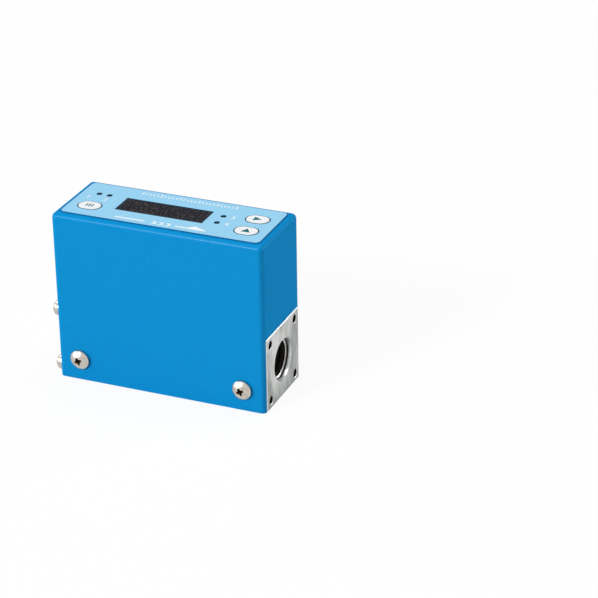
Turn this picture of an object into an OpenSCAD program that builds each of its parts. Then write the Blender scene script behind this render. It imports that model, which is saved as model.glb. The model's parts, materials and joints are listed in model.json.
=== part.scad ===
// Thermal mass flow meter: a ported steel flow body under a rounded cover with a display panel.
// Millimetres. Origin at the centre of the underside, flow along +X, front towards -Y, +Z up.

/* [Cover] */
// Thickness of the cover's side walls
cover_wall = 1.4; // [1.2:0.1:1.6]
// Thickness of the cover's top
cover_top_t = 1.6; // [1.4:0.1:2.2]
// Radius of the cover's edges and corners
edge_r = 1.8; // [1:0.1:2]
// Radius of the hollow's corners
inner_edge_r = 0.8; // [0.4:0.1:1]
// Diameter of the bosses that carry the display board
boss_d = 4.4; // [4:0.1:5]
// Distance of each boss's centre from the two walls beside it
boss_inset = 2.7; // [2.5:0.1:3]
// Pilot bore of the bosses
boss_bore_d = 2.1; // [1.9:0.1:2.2]
// Gap between the cover's edges and the flow block
cover_gap = 0.1; // [0.05:0.05:0.3]
// Room between the sensor's can and the display board
head_room = 4; // [3:0.5:10]

/* [Panel] */
// Distance of the panel sheet from the cover's sides
panel_margin = 2.2; // [2:0.1:3.5]
// Thickness of the panel sheet
panel_t = 0.3; // [0.2:0.05:0.5]
// Corner radius of the panel sheet
panel_corner_r = 2; // [1:0.25:4]
// Width of the display window
window_w = 32.4; // [28:0.1:34]
// Depth of the display window
window_d = 10; // [8:0.25:11]
// Distance from the mode key to the window
key_window_gap = 5.25; // [4:0.05:8]
// Width of the rim that holds the window under the cover's top
window_rim = 1.8; // [1:0.1:2]
// Thickness of that rim
window_rim_t = 1; // [0.8:0.1:1.5]
// Depth of the window's face below the panel's face
window_drop = 0.1; // [0:0.05:0.2]
// Fit gap round the window, the keys' flanges and the lenses
fit_gap = 0.05; // [0.05:0.01:0.1]

/* [Keys and indicators] */
// Width of a key
key_w = 8; // [7:0.1:9]
// Depth of a key
key_d = 5.7; // [5:0.1:7]
// Distance of the keys' centres from the panel's ends
key_inset = 7.8; // [7:0.1:9]
// Distance between the two rows of keys
key_row_gap = 4; // [2.6:0.1:5]
// Distance of the rows' middle from the panel's middle, towards the front
key_row_offset = 0.45; // [0:0.05:1]
// Gap between a key and its opening
key_gap = 0.15; // [0.1:0.05:0.25]
// Height of the keys above the panel
key_proud = 0.2; // [0.1:0.05:0.5]
// Travel of a key
key_travel = 0.3; // [0.2:0.05:0.4]
// Width of the flange that holds a key in
key_flange = 1; // [0.6:0.1:1.2]
// Thickness of that flange
key_flange_t = 1; // [0.8:0.1:1.4]
// Diameter of the stem under a key
key_stem_d = 4; // [3:0.1:5]
// Diameter of an indicator lens
lens_d = 2; // [1.6:0.1:2.6]
// Width of a lens's collar
lens_collar = 0.5; // [0.4:0.1:0.8]
// Distance between the two indicators over the mode key
left_pair_pitch = 3.9; // [3.7:0.1:4.4]
// Distance of their middle from the mode key's middle, along the panel
left_pair_offset = 0.6; // [0:0.1:1]
// Distance of these two from the panel's middle, towards the rear
left_pair_row = 4.65; // [4:0.05:6]
// Distance from the window's end to the right-hand indicators
right_pair_offset = 4.5; // [4:0.05:5]
// Distance between the two right-hand indicators
right_pair_pitch = 5.4; // [4:0.1:7]
// Distance from the right-hand indicators to the right-hand keys
indicator_key_gap = 7.85; // [6:0.05:12]

/* [Flow block] */
// Amount by which each port face stands out of the cover's ends
block_proud = 0.2; // [0:0.1:0.5]
// Chamfer on the block's edges
block_chamfer = 0.3; // [0.1:0.1:0.6]
// Length of the inlet flange
flange_l = 12; // [12:0.5:13]
// Major diameter of the port threads
port_major_d = 13.1; // [12.5:0.1:13.6]
// Radial depth of the port threads
port_thread_h = 0.8; // [0.6:0.05:0.9]
// Depth of the ports
port_depth = 12; // [10:0.5:12]
// Diameter of the plain mouth in front of the threads
port_mouth_d = 14.5; // [13.7:0.1:15]
// Width of the polished, flared recess round that mouth
port_recess_w = 0.3; // [0.2:0.05:1]
// Depth of that recess
port_recess_h = 1.1; // [0.5:0.1:1.2]
// Depth of the mouth behind the recess
port_mouth_h = 0.5; // [0.3:0.1:1]
// Depth of the chamfer that leads into the threads
port_lead_h = 0.6; // [0.4:0.1:1]
// Pitch of the four holes round a port
port_hole_pitch = 21; // [20:0.5:26]
// Distance of those holes from the block's sides
hole_side_margin = 3.25; // [3:0.05:5]
// Distance of those holes from the block's top and underside
hole_level_margin = 3.1; // [3:0.1:5]
// Depth of the tapped holes round the outlet
port_hole_depth = 8; // [5:0.5:8]
// Diameter of the laminar element's chamber
chamber_d = 14; // [13:0.1:14]
// Diameter of the passage that leads to the outlet
passage_d = 8; // [6:0.1:9]
// Distance between the tapped mounting holes in the underside
base_hole_pitch = 40; // [36:1:42]
// Depth of those holes
base_hole_depth = 5; // [3:0.5:5]

/* [Fasteners] */
// Tap drill of the M3 holes
m3_drill_d = 2.5; // [2.4:0.05:2.6]
// Clearance hole for an M3 screw
m3_clear_d = 3.4; // [3.2:0.1:3.6]
// Head diameter of an M3 pan head screw
m3_head_d = 5.6; // [5.2:0.1:6]
// Head height of an M3 pan head screw
m3_head_h = 2.4; // [1.8:0.1:2.4]
// Tap drill of the M4 holes
m4_drill_d = 3.3; // [3.2:0.05:3.4]
// Clearance hole for an M4 screw
m4_clear_d = 4.4; // [4.2:0.1:4.8]
// Head diameter of an M4 pan head screw
m4_head_d = 7; // [6.6:0.1:7.6]
// Head height of an M4 pan head screw
m4_head_h = 2.5; // [2.2:0.1:2.8]
// Radial gap between a screw's core and its tapped hole
thread_gap = 0.05; // [0.02:0.01:0.1]
// Distance of the cover screws from the cover's ends
cover_screw_inset = 8.4; // [8:0.1:9]
// Height of the cover screws above the base
cover_screw_z = 8; // [7.8:0.1:8.4]
// Depth of the cover screws' tapped holes
cover_hole_depth = 6; // [4:0.5:6]
// Thickness of a spring washer
washer_t = 0.8; // [0.6:0.05:1]
// Outside diameter of a spring washer
washer_d = 6; // [5:0.1:6]
// Depth to which the inlet screws enter the flow body
inlet_grip = 8; // [6:0.5:8]
// Diameter of the tapped holes for the inlet screws, near their crests
inlet_thread_d = 2.9; // [2.85:0.05:2.95]

/* [Laminar element] */
// Length of the laminar element
element_l = 13; // [11:0.5:14]
// Distance of the sensor taps from the element and from its ring
tap_clear = 2.35; // [2:0.05:3]
// Radial gap between the element and its chamber
element_gap = 0.05; // [0.03:0.01:0.1]
// Diameter of the element's capillary holes
capillary_d = 1.6; // [1:0.1:1.8]
// Pitch of those holes
capillary_pitch = 2.3; // [2.2:0.05:2.4]
// Thickness of the retaining ring
ring_t = 1; // [0.8:0.1:1.2]
// Depth of the ring's groove in the chamber's wall
ring_groove = 0.6; // [0.4:0.1:0.8]
// Thickness of the inlet screen
screen_t = 0.5; // [0.3:0.1:0.8]
// Width of the screen's seat round the chamber
screen_seat = 0.7; // [0.5:0.1:0.8]
// Section of the seal round the element
element_seal_d = 1.2; // [1:0.1:1.4]
// Section of the seal between the flange and the flow body
inlet_seal_d = 1.8; // [1.6:0.1:2]

/* [Sensor] */
// Diameter of the sensor taps
tap_d = 1.3; // [1.3:0.1:1.6]
// Outside diameter of the sensor tube
tube_d = 1.2; // [0.8:0.1:1.2]
// Wall of the sensor tube
tube_wall = 0.2; // [0.1:0.05:0.25]
// Height of the sensor tube above its base
tube_rise = 12; // [9:0.5:13]
// Bend radius of the sensor tube
tube_bend_r = 2.5; // [2:0.1:4]
// Diameter of a winding
winding_d = 2.8; // [2:0.1:3.5]
// Length of a winding
winding_l = 5.5; // [3:0.5:6]
// Gap between the two windings
winding_gap = 1.4; // [1:0.1:3]
// Height of the sensor base
sensor_base_h = 6; // [5:0.5:7]
// Depth of the sensor base
sensor_base_d = 15; // [14:0.5:16]
// Distance of the sensor screws from the edges of the sensor base
sensor_screw_edge = 3; // [2.9:0.1:3.5]
// Wall of the sensor's can
can_wall = 0.5; // [0.3:0.1:0.6]
// Section of the seals under the sensor base
tap_seal_d = 1.2; // [1:0.1:1.4]

/* [Electronics] */
// Thickness of the circuit boards
board_t = 1.6; // [1:0.1:1.8]
// Gap between the display board and the cover's walls
board_gap = 0.5; // [0.3:0.1:1]
// Height of the numeric display module
module_h = 5.7; // [5.5:0.1:7]
// Gap between the module and the window
module_gap = 0.3; // [0.2:0.1:0.6]
// Distance of the main board from the rear wall
rear_gap = 2; // [1.8:0.1:2.2]
// Side of a key switch's housing
switch_w = 6; // [5:0.1:6.2]
// Height of a key switch's housing
switch_h = 3.5; // [3:0.1:3.8]
// Diameter of a key switch's plunger
plunger_d = 3.5; // [3:0.1:3.5]
// Length of the connector into the cover
connector_l = 11; // [10.5:0.5:12]
// Depth of the connector out from the main board
connector_d = 8; // [7.5:0.1:8]
// Height of the connector along the main board
connector_h = 12; // [11.5:0.5:13]
// Wall of the connector's shell
connector_hall = 0.9; // [0.7:0.1:1]
// Amount by which the connector stands out of the cover's end
connector_proud = 0.3; // [0:0.1:1]
// Depth of the connector's socket
socket_depth = 10; // [9:0.5:10]
// Gap between the sensor base and the board's brackets
bracket_gap = 1.4; // [1:0.1:2]
// Width of a bracket
bracket_w = 8; // [7:0.5:9]
// Height of a bracket
bracket_rise = 8; // [7:0.5:8.5]
// Length of a bracket's foot
bracket_foot = 8; // [7.5:0.5:9]
// Thickness of a bracket
bracket_t = 1.2; // [0.8:0.1:1.5]
// Height of the main board above the flow block
board_lift = 2; // [1:0.5:3]

/* [Hidden] */
$fn = 48;
eps = 0.01;
cut = 1;

// Colours
paint_blue = "#0a86c8";
panel_blue = "#a8d8f2";
steel = "#b4b6b3";
bright_steel = "#d0d0cc";
board_green = "#1d5a3c";
rubber_black = "#202022";
plastic_black = "#2a2a2c";

// Flow block, sized by its four-hole pattern
block_d = port_hole_pitch + 2 * hole_side_margin;
block_h = port_hole_pitch + 2 * hole_level_margin;
port_z = block_h / 2;
port_minor_d = port_major_d - 2 * port_thread_h;
port_recess_d = port_mouth_d + 2 * port_recess_w;
hole_rows = [-port_hole_pitch / 2, port_hole_pitch / 2];
hole_countersink = 0.45;
screw_tip = 0.4;
seal_squeeze = 0.78;
seal_room = 0.3;
inlet_seal_h = inlet_seal_d * seal_squeeze;
element_seal_h = element_seal_d * seal_squeeze;
tap_seal_h = tap_seal_d * seal_squeeze;

// Laminar element between its ring and the chamber's step
tap_pitch = element_l + ring_t + 2 * tap_clear + tap_d;
element_end_x = tap_pitch / 2 - tap_d / 2 - tap_clear;
element_start_x = element_end_x - element_l;
ring_x = element_start_x - ring_t;
ring_play = 0.05;
plenum_l = tap_clear + tap_d + 5.35;
plenum_d = chamber_d - 1.6;
seal_wall = 0.8;
seal_ring_r = chamber_d / 2 + screen_seat + seal_wall + inlet_seal_d / 2;
tap_seal_r = tap_d / 2 + 0.4 + tap_seal_d / 2;

// Sensor on the block's top
tube_grip = 4;
can_gap = 0.3;
can_w = tap_pitch + tube_d + 2 * (can_gap + can_wall);
can_d = 11;
can_clear = 1.2;
can_h = tube_rise + winding_d / 2 + can_clear;
sensor_head_gap = 0.45;
sensor_screw_x = can_w / 2 + m3_head_d / 2 + sensor_head_gap;
sensor_screw_y = sensor_base_d / 2 - sensor_screw_edge;
sensor_base_w = 2 * (sensor_screw_x + sensor_screw_edge);
sensor_base_top = block_h + sensor_base_h;
tube_level = sensor_base_top + tube_rise;
lead_pin_d = 0.5;
lead_bead_d = 1.6;
lead_pin_places = [
    -winding_gap / 2 - winding_l + 0.8, -winding_gap / 2 - 0.8,
    winding_gap / 2 + 0.8, winding_gap / 2 + winding_l - 0.8
];
tapped_depth = 5;
tapped_end_gap = 1;

// Panel, laid out from the left key to the right keys
panel_w = 2 * key_inset + key_w + key_window_gap + window_w + right_pair_offset + indicator_key_gap;
key_x = panel_w / 2 - key_inset;
window_x = -key_x + key_w / 2 + key_window_gap + window_w / 2;
left_pair_x = left_pair_offset - key_x;
right_pair_x = window_x + window_w / 2 + right_pair_offset;

// Cover, sized by the panel, the flow block and the stack of pieces inside
cover_w = panel_w + 2 * panel_margin;
hollow_w = cover_w - 2 * cover_wall;
hollow_d = block_d + 2 * cover_gap;
cover_d = hollow_d + 2 * cover_wall;
panel_d = cover_d - 2 * panel_margin;
display_under = sensor_base_top + can_h + head_room;
display_top = display_under + board_t;
window_under = display_top + module_h + module_gap;
top_under = window_under + window_rim_t;
cover_h = top_under + cover_top_t;
panel_top = cover_h + panel_t;
boss_x = hollow_w / 2 - boss_inset;
boss_y = hollow_d / 2 - boss_inset;
block_l = cover_w + 2 * block_proud;
joint_x = -block_l / 2 + flange_l;
cover_screw_x = cover_w / 2 - cover_screw_inset;

// Places of the keys and the indicators
key_row_y = (key_d + key_row_gap) / 2;
front_row_y = -key_row_y - key_row_offset;
mode_key_at = [-key_x, front_row_y];
right_key_at = [key_x, key_row_y - key_row_offset];
up_key_at = [key_x, front_row_y];
key_places = [mode_key_at, right_key_at, up_key_at];
lens_places = [
    [left_pair_x - left_pair_pitch / 2, left_pair_row],
    [left_pair_x + left_pair_pitch / 2, left_pair_row],
    [right_pair_x, right_pair_pitch / 2],
    [right_pair_x, -right_pair_pitch / 2]
];

// Pieces on the display board
module_w = window_w - 2.5;
module_d = window_d - 0.75;
key_rest_gap = 0.1;
key_flange_top = top_under - key_rest_gap;
key_flange_under = key_flange_top - key_flange_t;
switch_top = display_top + switch_h;
switch_lid = 0.6;
switch_floor = 0.6;
plunger_rise = 0.9;
plunger_top = switch_top + plunger_rise;
plunger_flange_t = 0.6;
plunger_collar = 0.4;
plunger_gap = 0.05;
dome_d = plunger_d + 0.6;
dome_h = 0.5;
dome_t = 0.12;
dome_gap = key_travel + 0.05;
lens_collar_t = 0.8;
led_gap = 0.2;
led_h = 0.9;
led_w = 3.2;
led_d = 1.6;
board_corner_r = 1.5;
small_head_d = 4.5;
small_head_h = 1.7;
small_clear_d = 2.8;
boss_grip = 4;

// Main board and what stands on it
main_front = hollow_d / 2 - rear_gap - board_t;
main_under = block_h + board_lift;
main_top = display_under - 1.3;
main_w = hollow_w - 11;
bracket_x = sensor_base_w / 2 + bracket_gap + bracket_w / 2;
bracket_hole_z = block_h + bracket_rise - 2.7;
bracket_hole_y = main_front - bracket_foot + 3;
bracket_head_h = 1.8;
bracket_thread_d = 2.4;
connector_z = block_h + bracket_rise + 0.8 + connector_h / 2;
connector_x = -cover_w / 2 - connector_proud;
connector_front = main_front - connector_d;
pin_w = 0.6;
pin_pitch = 2.5;
pin_hole_gap = 0.01;
plug_room = 4.6;
pin_tail = 1;
header_h = 2.5;
header_pins = 8;
header_end = 0.5;
header_w = header_pins * pin_pitch + 2 * header_end;
header_pin_rise = 0.8;
header_hole_d = 1.1;
chip_side = 8;
chip_lead_l = 1;
chip_gap = 0.5;
chip_h = 1.4;
chip_x = 6;
converter_l = 9;
converter_h = 8;
converter_t = 2.5;
converter_gap = 3;
converter_x = chip_x - chip_side / 2 - converter_gap - converter_l;
capacitor_d = 6.3;
capacitor_l = 7.5;
capacitor_base = 1;
capacitor_pitch = 8;
capacitor_end_gap = 6.1;
capacitor_top_gap = 1.7;
capacitor_places = [main_w / 2 - capacitor_end_gap - capacitor_pitch, main_w / 2 - capacitor_end_gap];
parts_z = sensor_base_top + chip_gap + chip_lead_l + chip_side / 2;

// Flat outlines
module round_rect(w, d, r) {
    square([w - 2 * r, d], center = true);
    square([w, d - 2 * r], center = true);
    for (x = [-1, 1], y = [-1, 1])
        translate([x * (w / 2 - r), y * (d / 2 - r)]) circle(r);
}

module arch(w, h, r) {
    translate([-w / 2, 0]) square([w, h - r]);
    translate([-w / 2 + r, 0]) square([w - 2 * r, h]);
    for (x = [-1, 1]) translate([x * (w / 2 - r), h - r]) circle(r);
}

module obround(w, d) {
    square([w - d, d], center = true);
    for (x = [-1, 1]) translate([x * (w - d) / 2, 0]) circle(d / 2);
}

module chamfered_rect(w, d, c) {
    polygon([
        [-w / 2 + c, -d / 2], [w / 2 - c, -d / 2], [w / 2, -d / 2 + c], [w / 2, d / 2 - c],
        [w / 2 - c, d / 2], [-w / 2 + c, d / 2], [-w / 2, d / 2 - c], [-w / 2, -d / 2 + c]
    ]);
}

// A quarter of a round post with a domed top
module domed_corner(h, r) {
    rotate_extrude(angle = 90) {
        square([r, h - r]);
        translate([0, h - r]) intersection() {
            circle(r);
            square(r);
        }
    }
}

// A box with a flat base, rounded uprights, a rounded top and ball corners
module rounded_case(w, d, h, r) {
    rotate([90, 0, 0]) linear_extrude(d - 2 * r, center = true) arch(w, h, r);
    rotate([90, 0, 90]) linear_extrude(w - 2 * r, center = true) arch(d, h, r);
    for (turn = [0, 180]) rotate([0, 0, turn]) {
        translate([w / 2 - r, d / 2 - r, 0]) domed_corner(h, r);
        translate([w / 2 - r, r - d / 2, 0]) rotate([0, 0, -90]) domed_corner(h, r);
    }
}

// A block with all its edges chamfered, centred in plan
module chamfered_block(l, d, h, c) {
    translate([0, 0, h / 2]) intersection() {
        linear_extrude(h, center = true) chamfered_rect(l, d, c);
        rotate([90, 0, 0]) linear_extrude(d + cut, center = true) chamfered_rect(l, h, c);
        rotate([90, 0, 90]) linear_extrude(l + cut, center = true) chamfered_rect(d, h, c);
    }
}

// A cylinder along +X from x
module bar_x(x, d, l) {
    translate([x, 0, 0]) rotate([0, 90, 0]) cylinder(h = l, d = d);
}

module cone_x(x, d1, d2, l) {
    translate([x, 0, 0]) rotate([0, 90, 0]) cylinder(h = l, d1 = d1, d2 = d2);
}

// Cross recess of a screw, with its mouth at z = 0 and its point below
module cross_recess(d, depth) {
    wing = d * 0.26;
    intersection() {
        union() {
            translate([0, 0, -depth / 2]) cube([d + cut, wing, depth + 2 * cut], center = true);
            translate([0, 0, -depth / 2]) cube([wing, d + cut, depth + 2 * cut], center = true);
        }
        translate([0, 0, -depth]) cylinder(h = depth + cut, r1 = wing * 0.45, r2 = d * 0.62);
    }
}

// Pan head screw: the head's seat at z = 0, the head above it and the shank below
module pan_screw(head_d, head_h, shank_d, shank_l, turn = 0) {
    side_h = head_h * 0.4;
    dome_h = head_h - side_h;
    dome_r = (head_d * head_d / 4 + dome_h * dome_h) / (2 * dome_h);
    rotate([0, 0, turn]) difference() {
        union() {
            rotate_extrude() intersection() {
                square([head_d / 2, head_h]);
                translate([0, head_h - dome_r]) circle(dome_r, $fn = 96);
            }
            translate([0, 0, -shank_l]) cylinder(h = shank_l + eps, d = shank_d);
            translate([0, 0, -shank_l - screw_tip])
                cylinder(h = screw_tip + eps, d1 = shank_d - 2 * screw_tip, d2 = shank_d);
        }
        translate([0, 0, head_h]) cross_recess(head_d * 0.52, head_h * 0.8);
    }
}

// Seal ring squeezed flat on two sides, centred at the origin and lying in the XY plane
module squeezed_seal(r, section, h) {
    rotate_extrude() translate([r, 0]) intersection() {
        circle(section / 2, $fn = 32);
        square([section * 2, h], center = true);
    }
}

module at_keys() {
    for (p = key_places) translate([p[0], p[1], 0]) children();
}

module at_lenses() {
    for (p = lens_places) translate([p[0], p[1], 0]) children();
}

module at_bosses() {
    for (x = [-boss_x, boss_x], y = [-boss_y, boss_y]) translate([x, y, 0]) children();
}

// The children's z axis turns to point out of the front and the rear wall in turn
module at_cover_screws(surface_y) {
    for (x = [-cover_screw_x, cover_screw_x], side = [-1, 1])
        translate([x, side * surface_y, cover_screw_z]) rotate([-90 * side, 0, 0]) children();
}

module at_port_holes(x) {
    for (y = hole_rows, z = hole_rows) translate([x, y, port_z + z]) children();
}

// Room that a port takes, from its face at the origin down along -X
module port_room(through) {
    mouth_x = -port_recess_h - port_mouth_h;
    cone_x(-port_recess_h, port_mouth_d, port_recess_d, port_recess_h + eps);
    bar_x(mouth_x, port_mouth_d, port_mouth_h + eps);
    cone_x(mouth_x - port_lead_h, port_minor_d, port_mouth_d, port_lead_h + eps);
    bar_x(-through, port_minor_d, through + mouth_x - port_lead_h + eps);
}

module cover() {
    wall_foot = block_h + cover_gap;
    color(paint_blue) difference() {
        union() {
            difference() {
                rounded_case(cover_w, cover_d, cover_h, edge_r);
                translate([0, 0, -cut])
                    rounded_case(hollow_w, hollow_d, top_under + cut, inner_edge_r);
            }
            at_bosses() translate([0, 0, display_top])
                cylinder(h = top_under - display_top + eps, d = boss_d);
        }
        translate([-cover_w, -hollow_d / 2, -cut]) cube([2 * cover_w, hollow_d, wall_foot + cut]);
        at_cover_screws(cover_d / 2)
            translate([0, 0, -cover_wall - cut]) cylinder(h = cover_wall + 2 * cut, d = m4_clear_d);
        at_bosses() translate([0, 0, display_top - cut])
            cylinder(h = top_under - display_top, d = boss_bore_d);
        translate([window_x, 0, top_under - cut])
            linear_extrude(cover_top_t + 2 * cut)
                square([window_w + 2 * fit_gap, window_d + 2 * fit_gap], center = true);
        at_keys() translate([0, 0, top_under - cut])
            linear_extrude(cover_top_t + 2 * cut) obround(key_w + 2 * key_gap, key_d + 2 * key_gap);
        at_lenses() translate([0, 0, top_under - cut])
            cylinder(h = cover_top_t + 2 * cut, d = lens_d + 2 * fit_gap);
        translate([-cover_w / 2 - cut, connector_front - cover_gap,
                   connector_z - connector_h / 2 - cover_gap])
            cube([cover_wall + 2 * cut, connector_d + 2 * cover_gap, connector_h + 2 * cover_gap]);
    }
}

module panel_overlay() {
    color(panel_blue) translate([0, 0, cover_h]) linear_extrude(panel_t) difference() {
        round_rect(panel_w, panel_d, panel_corner_r);
        translate([window_x, 0]) square([window_w + 2 * fit_gap, window_d + 2 * fit_gap], center = true);
        for (p = key_places) translate(p) obround(key_w + 2 * key_gap, key_d + 2 * key_gap);
        for (p = lens_places) translate(p) circle(d = lens_d + 2 * fit_gap);
    }
}

module display_window() {
    color("#26262c") translate([window_x, 0, 0]) {
        translate([0, 0, window_under + window_rim_t - eps])
            linear_extrude(panel_top - window_drop - top_under + eps)
                square([window_w, window_d], center = true);
        translate([0, 0, window_under]) linear_extrude(window_rim_t)
            square([window_w + 2 * window_rim, window_d + 2 * window_rim], center = true);
    }
}

// Key cap with the flange that holds it in and the stem that meets its switch
module key_cap() {
    color("white") {
        translate([0, 0, key_flange_top - eps])
            linear_extrude(panel_top + key_proud - key_flange_top + eps) obround(key_w, key_d);
        translate([0, 0, key_flange_under]) linear_extrude(key_flange_t)
            obround(key_w + 2 * key_flange, key_d + 2 * key_flange);
        translate([0, 0, plunger_top])
            cylinder(h = key_flange_under - plunger_top + eps, d = key_stem_d);
    }
}

module switch_plunger() {
    foot = switch_top - switch_lid - 2 * plunger_gap;
    dome_top = display_top + switch_floor + dome_h;
    color(plastic_black) {
        translate([0, 0, foot - eps]) cylinder(h = plunger_top - foot + eps, d = plunger_d);
        translate([0, 0, foot - plunger_flange_t])
            cylinder(h = plunger_flange_t, d = plunger_d + 2 * plunger_collar);
        translate([0, 0, dome_top + dome_gap])
            cylinder(h = foot - plunger_flange_t - dome_top - dome_gap + eps, d = plunger_d / 2);
    }
}

module mode_key() {
    translate([mode_key_at[0], mode_key_at[1], 0]) key_cap();
}

module right_key() {
    translate([right_key_at[0], right_key_at[1], 0]) key_cap();
}

module up_key() {
    translate([up_key_at[0], up_key_at[1], 0]) key_cap();
}

module mode_switch_plunger() {
    translate([mode_key_at[0], mode_key_at[1], 0]) switch_plunger();
}

module right_switch_plunger() {
    translate([right_key_at[0], right_key_at[1], 0]) switch_plunger();
}

module up_switch_plunger() {
    translate([up_key_at[0], up_key_at[1], 0]) switch_plunger();
}

module switch_housings() {
    color("#3a3a3c") at_keys() difference() {
        translate([-switch_w / 2, -switch_w / 2, display_top]) cube([switch_w, switch_w, switch_h]);
        translate([0, 0, display_top + switch_floor])
            cylinder(h = switch_h - switch_floor - switch_lid,
                     d = plunger_d + 2 * plunger_collar + 6 * plunger_gap);
        translate([0, 0, display_top + switch_floor])
            cylinder(h = switch_h, d = plunger_d + 2 * plunger_gap);
    }
}

// Sprung metal disc under each plunger
module snap_domes() {
    dome_r = (dome_d * dome_d / 4 + dome_h * dome_h) / (2 * dome_h);
    color(bright_steel) at_keys() translate([0, 0, display_top + switch_floor]) rotate_extrude()
        intersection() {
            square([dome_d / 2, dome_h]);
            translate([0, dome_h - dome_r]) difference() {
                circle(dome_r, $fn = 96);
                circle(dome_r - dome_t, $fn = 96);
            }
        }
}

module indicator_lenses() {
    foot = display_top + led_h + led_gap;
    color("#12324a") at_lenses() {
        translate([0, 0, foot]) cylinder(h = panel_top - foot, d = lens_d);
        translate([0, 0, top_under - lens_collar_t])
            cylinder(h = lens_collar_t, d = lens_d + 2 * lens_collar);
    }
}

module indicator_leds() {
    color("#e8e4c8") at_lenses() translate([0, 0, display_top]) {
        translate([-led_w / 2, -led_d / 2, 0]) cube([led_w, led_d, led_h * 0.5]);
        cylinder(h = led_h, d = led_d * 0.9);
    }
}

// One seven-bar figure, cut as shallow light wells
module figure_wells(w, h) {
    bar = w * 0.16;
    for (y = [-1, 0, 1]) translate([0, y * (h - bar) / 2]) square([w - 2.4 * bar, bar], center = true);
    for (x = [-1, 1], y = [-1, 1]) translate([x * (w - bar) / 2, y * (h - bar) / 4])
        square([bar, (h - bar) / 2 - 1.4 * bar], center = true);
}

module display_module() {
    figure_pitch = module_w / 4;
    figure_w = figure_pitch * 0.62;
    figure_h = module_d * 0.8;
    well = 0.5;
    color("#38383c") translate([window_x, 0, display_top]) difference() {
        translate([-module_w / 2, -module_d / 2, 0]) cube([module_w, module_d, module_h]);
        for (i = [0:3]) translate([(i - 1.5) * figure_pitch, 0, module_h - well])
            linear_extrude(well + cut) figure_wells(figure_w, figure_h);
    }
}

module display_board() {
    w = hollow_w - 2 * board_gap;
    d = hollow_d - 2 * board_gap;
    color(board_green) difference() {
        translate([0, 0, display_under]) linear_extrude(board_t) round_rect(w, d, board_corner_r);
        at_bosses() translate([0, 0, display_under - cut])
            cylinder(h = board_t + 2 * cut, d = small_clear_d);
        header_pin_row() translate([0, 0, display_under - cut])
            cylinder(h = board_t + 2 * cut, d = header_hole_d);
    }
}

module display_board_screws() {
    color(bright_steel) at_bosses() translate([0, 0, display_under]) rotate([180, 0, 0])
        pan_screw(small_head_d, small_head_h, boss_bore_d - 2 * thread_gap, board_t + boss_grip, 45);
}

module header_pin_row() {
    for (i = [0:header_pins - 1])
        translate([(i - (header_pins - 1) / 2) * pin_pitch, main_front - header_h / 2, 0]) children();
}

module board_header() {
    pin_top = display_top + header_pin_rise;
    color(plastic_black) {
        translate([-header_w / 2, main_front - header_h, main_top - header_h])
            cube([header_w, header_h, header_h]);
        header_pin_row() translate([-pin_w / 2, -pin_w / 2, main_top - eps])
            cube([pin_w, pin_w, pin_top - main_top + eps]);
    }
}

module main_board() {
    color(board_green) difference() {
        translate([-main_w / 2, main_front, main_under]) cube([main_w, board_t, main_top - main_under]);
        for (x = [-bracket_x, bracket_x]) translate([x, main_front - cut, bracket_hole_z])
            rotate([-90, 0, 0]) cylinder(h = board_t + 2 * cut, d = bracket_thread_d + 6 * thread_gap);
        translate([0, 0, tube_level]) at_lead_pins(main_front - cut)
            cylinder(h = board_t + 2 * cut, d = lead_pin_d + 0.3);
    }
}

module board_brackets() {
    color("#c9b26a") for (x = [-bracket_x, bracket_x]) difference() {
        union() {
            translate([x - bracket_w / 2, main_front - bracket_foot, block_h])
                cube([bracket_w, bracket_foot, bracket_t]);
            translate([x - bracket_w / 2, main_front - bracket_t, block_h])
                cube([bracket_w, bracket_t, bracket_rise]);
        }
        translate([x, bracket_hole_y, block_h - cut]) cylinder(h = bracket_t + 2 * cut, d = m3_clear_d);
        translate([x, main_front - bracket_t - cut, bracket_hole_z]) rotate([-90, 0, 0])
            cylinder(h = bracket_t + 2 * cut, d = bracket_thread_d + 2 * thread_gap);
    }
}

module bracket_screws() {
    color(bright_steel) for (x = [-bracket_x, bracket_x]) {
        translate([x, bracket_hole_y, block_h + bracket_t])
            pan_screw(m3_head_d, bracket_head_h, m3_drill_d - 2 * thread_gap,
                      bracket_t + tapped_depth - tapped_end_gap - screw_tip, 20);
        translate([x, main_front + board_t, bracket_hole_z]) rotate([-90, 0, 0])
            pan_screw(small_head_d, small_head_h, bracket_thread_d, board_t + bracket_t, 20);
    }
}

// Flat package with eight gull-wing leads on each side
module processor() {
    leads = 8;
    lead_pitch = 0.8;
    lead_w = 0.3;
    lead_t = 0.15;
    color(plastic_black) translate([chip_x, main_front, parts_z]) rotate([90, 0, 0]) {
        translate([-chip_side / 2, -chip_side / 2, lead_t / 2]) cube([chip_side, chip_side, chip_h]);
        for (turn = [0:90:270], i = [0:leads - 1]) rotate([0, 0, turn])
            translate([(i - (leads - 1) / 2) * lead_pitch - lead_w / 2, chip_side / 2 - eps, 0]) {
                cube([lead_w, chip_lead_l, lead_t]);
                cube([lead_w, chip_lead_l / 4, chip_h / 2]);
            }
    }
}

// Potted converter with cooling slots in its face
module power_converter() {
    slots = 3;
    slot_w = 0.8;
    slot_t = 0.5;
    rim = 1;
    color("#303438") translate([converter_x, main_front - converter_t, parts_z - converter_h / 2])
        difference() {
            cube([converter_l, converter_t, converter_h]);
            for (i = [1:slots]) translate([i * converter_l / (slots + 1) - slot_w / 2, -cut, rim])
                cube([slot_w, cut + slot_t, converter_h - 2 * rim]);
        }
}

module capacitors() {
    base_w = capacitor_d + 0.3;
    color("#c8c8cc") for (x = capacitor_places)
        translate([x, main_front, main_top - base_w / 2 - capacitor_top_gap]) rotate([90, 0, 0]) {
            translate([-base_w / 2, -base_w / 2, 0]) cube([base_w, base_w, capacitor_base]);
            translate([0, 0, capacitor_base - eps])
                cylinder(h = capacitor_l - capacitor_base + eps, d = capacitor_d);
        }
}

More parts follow.
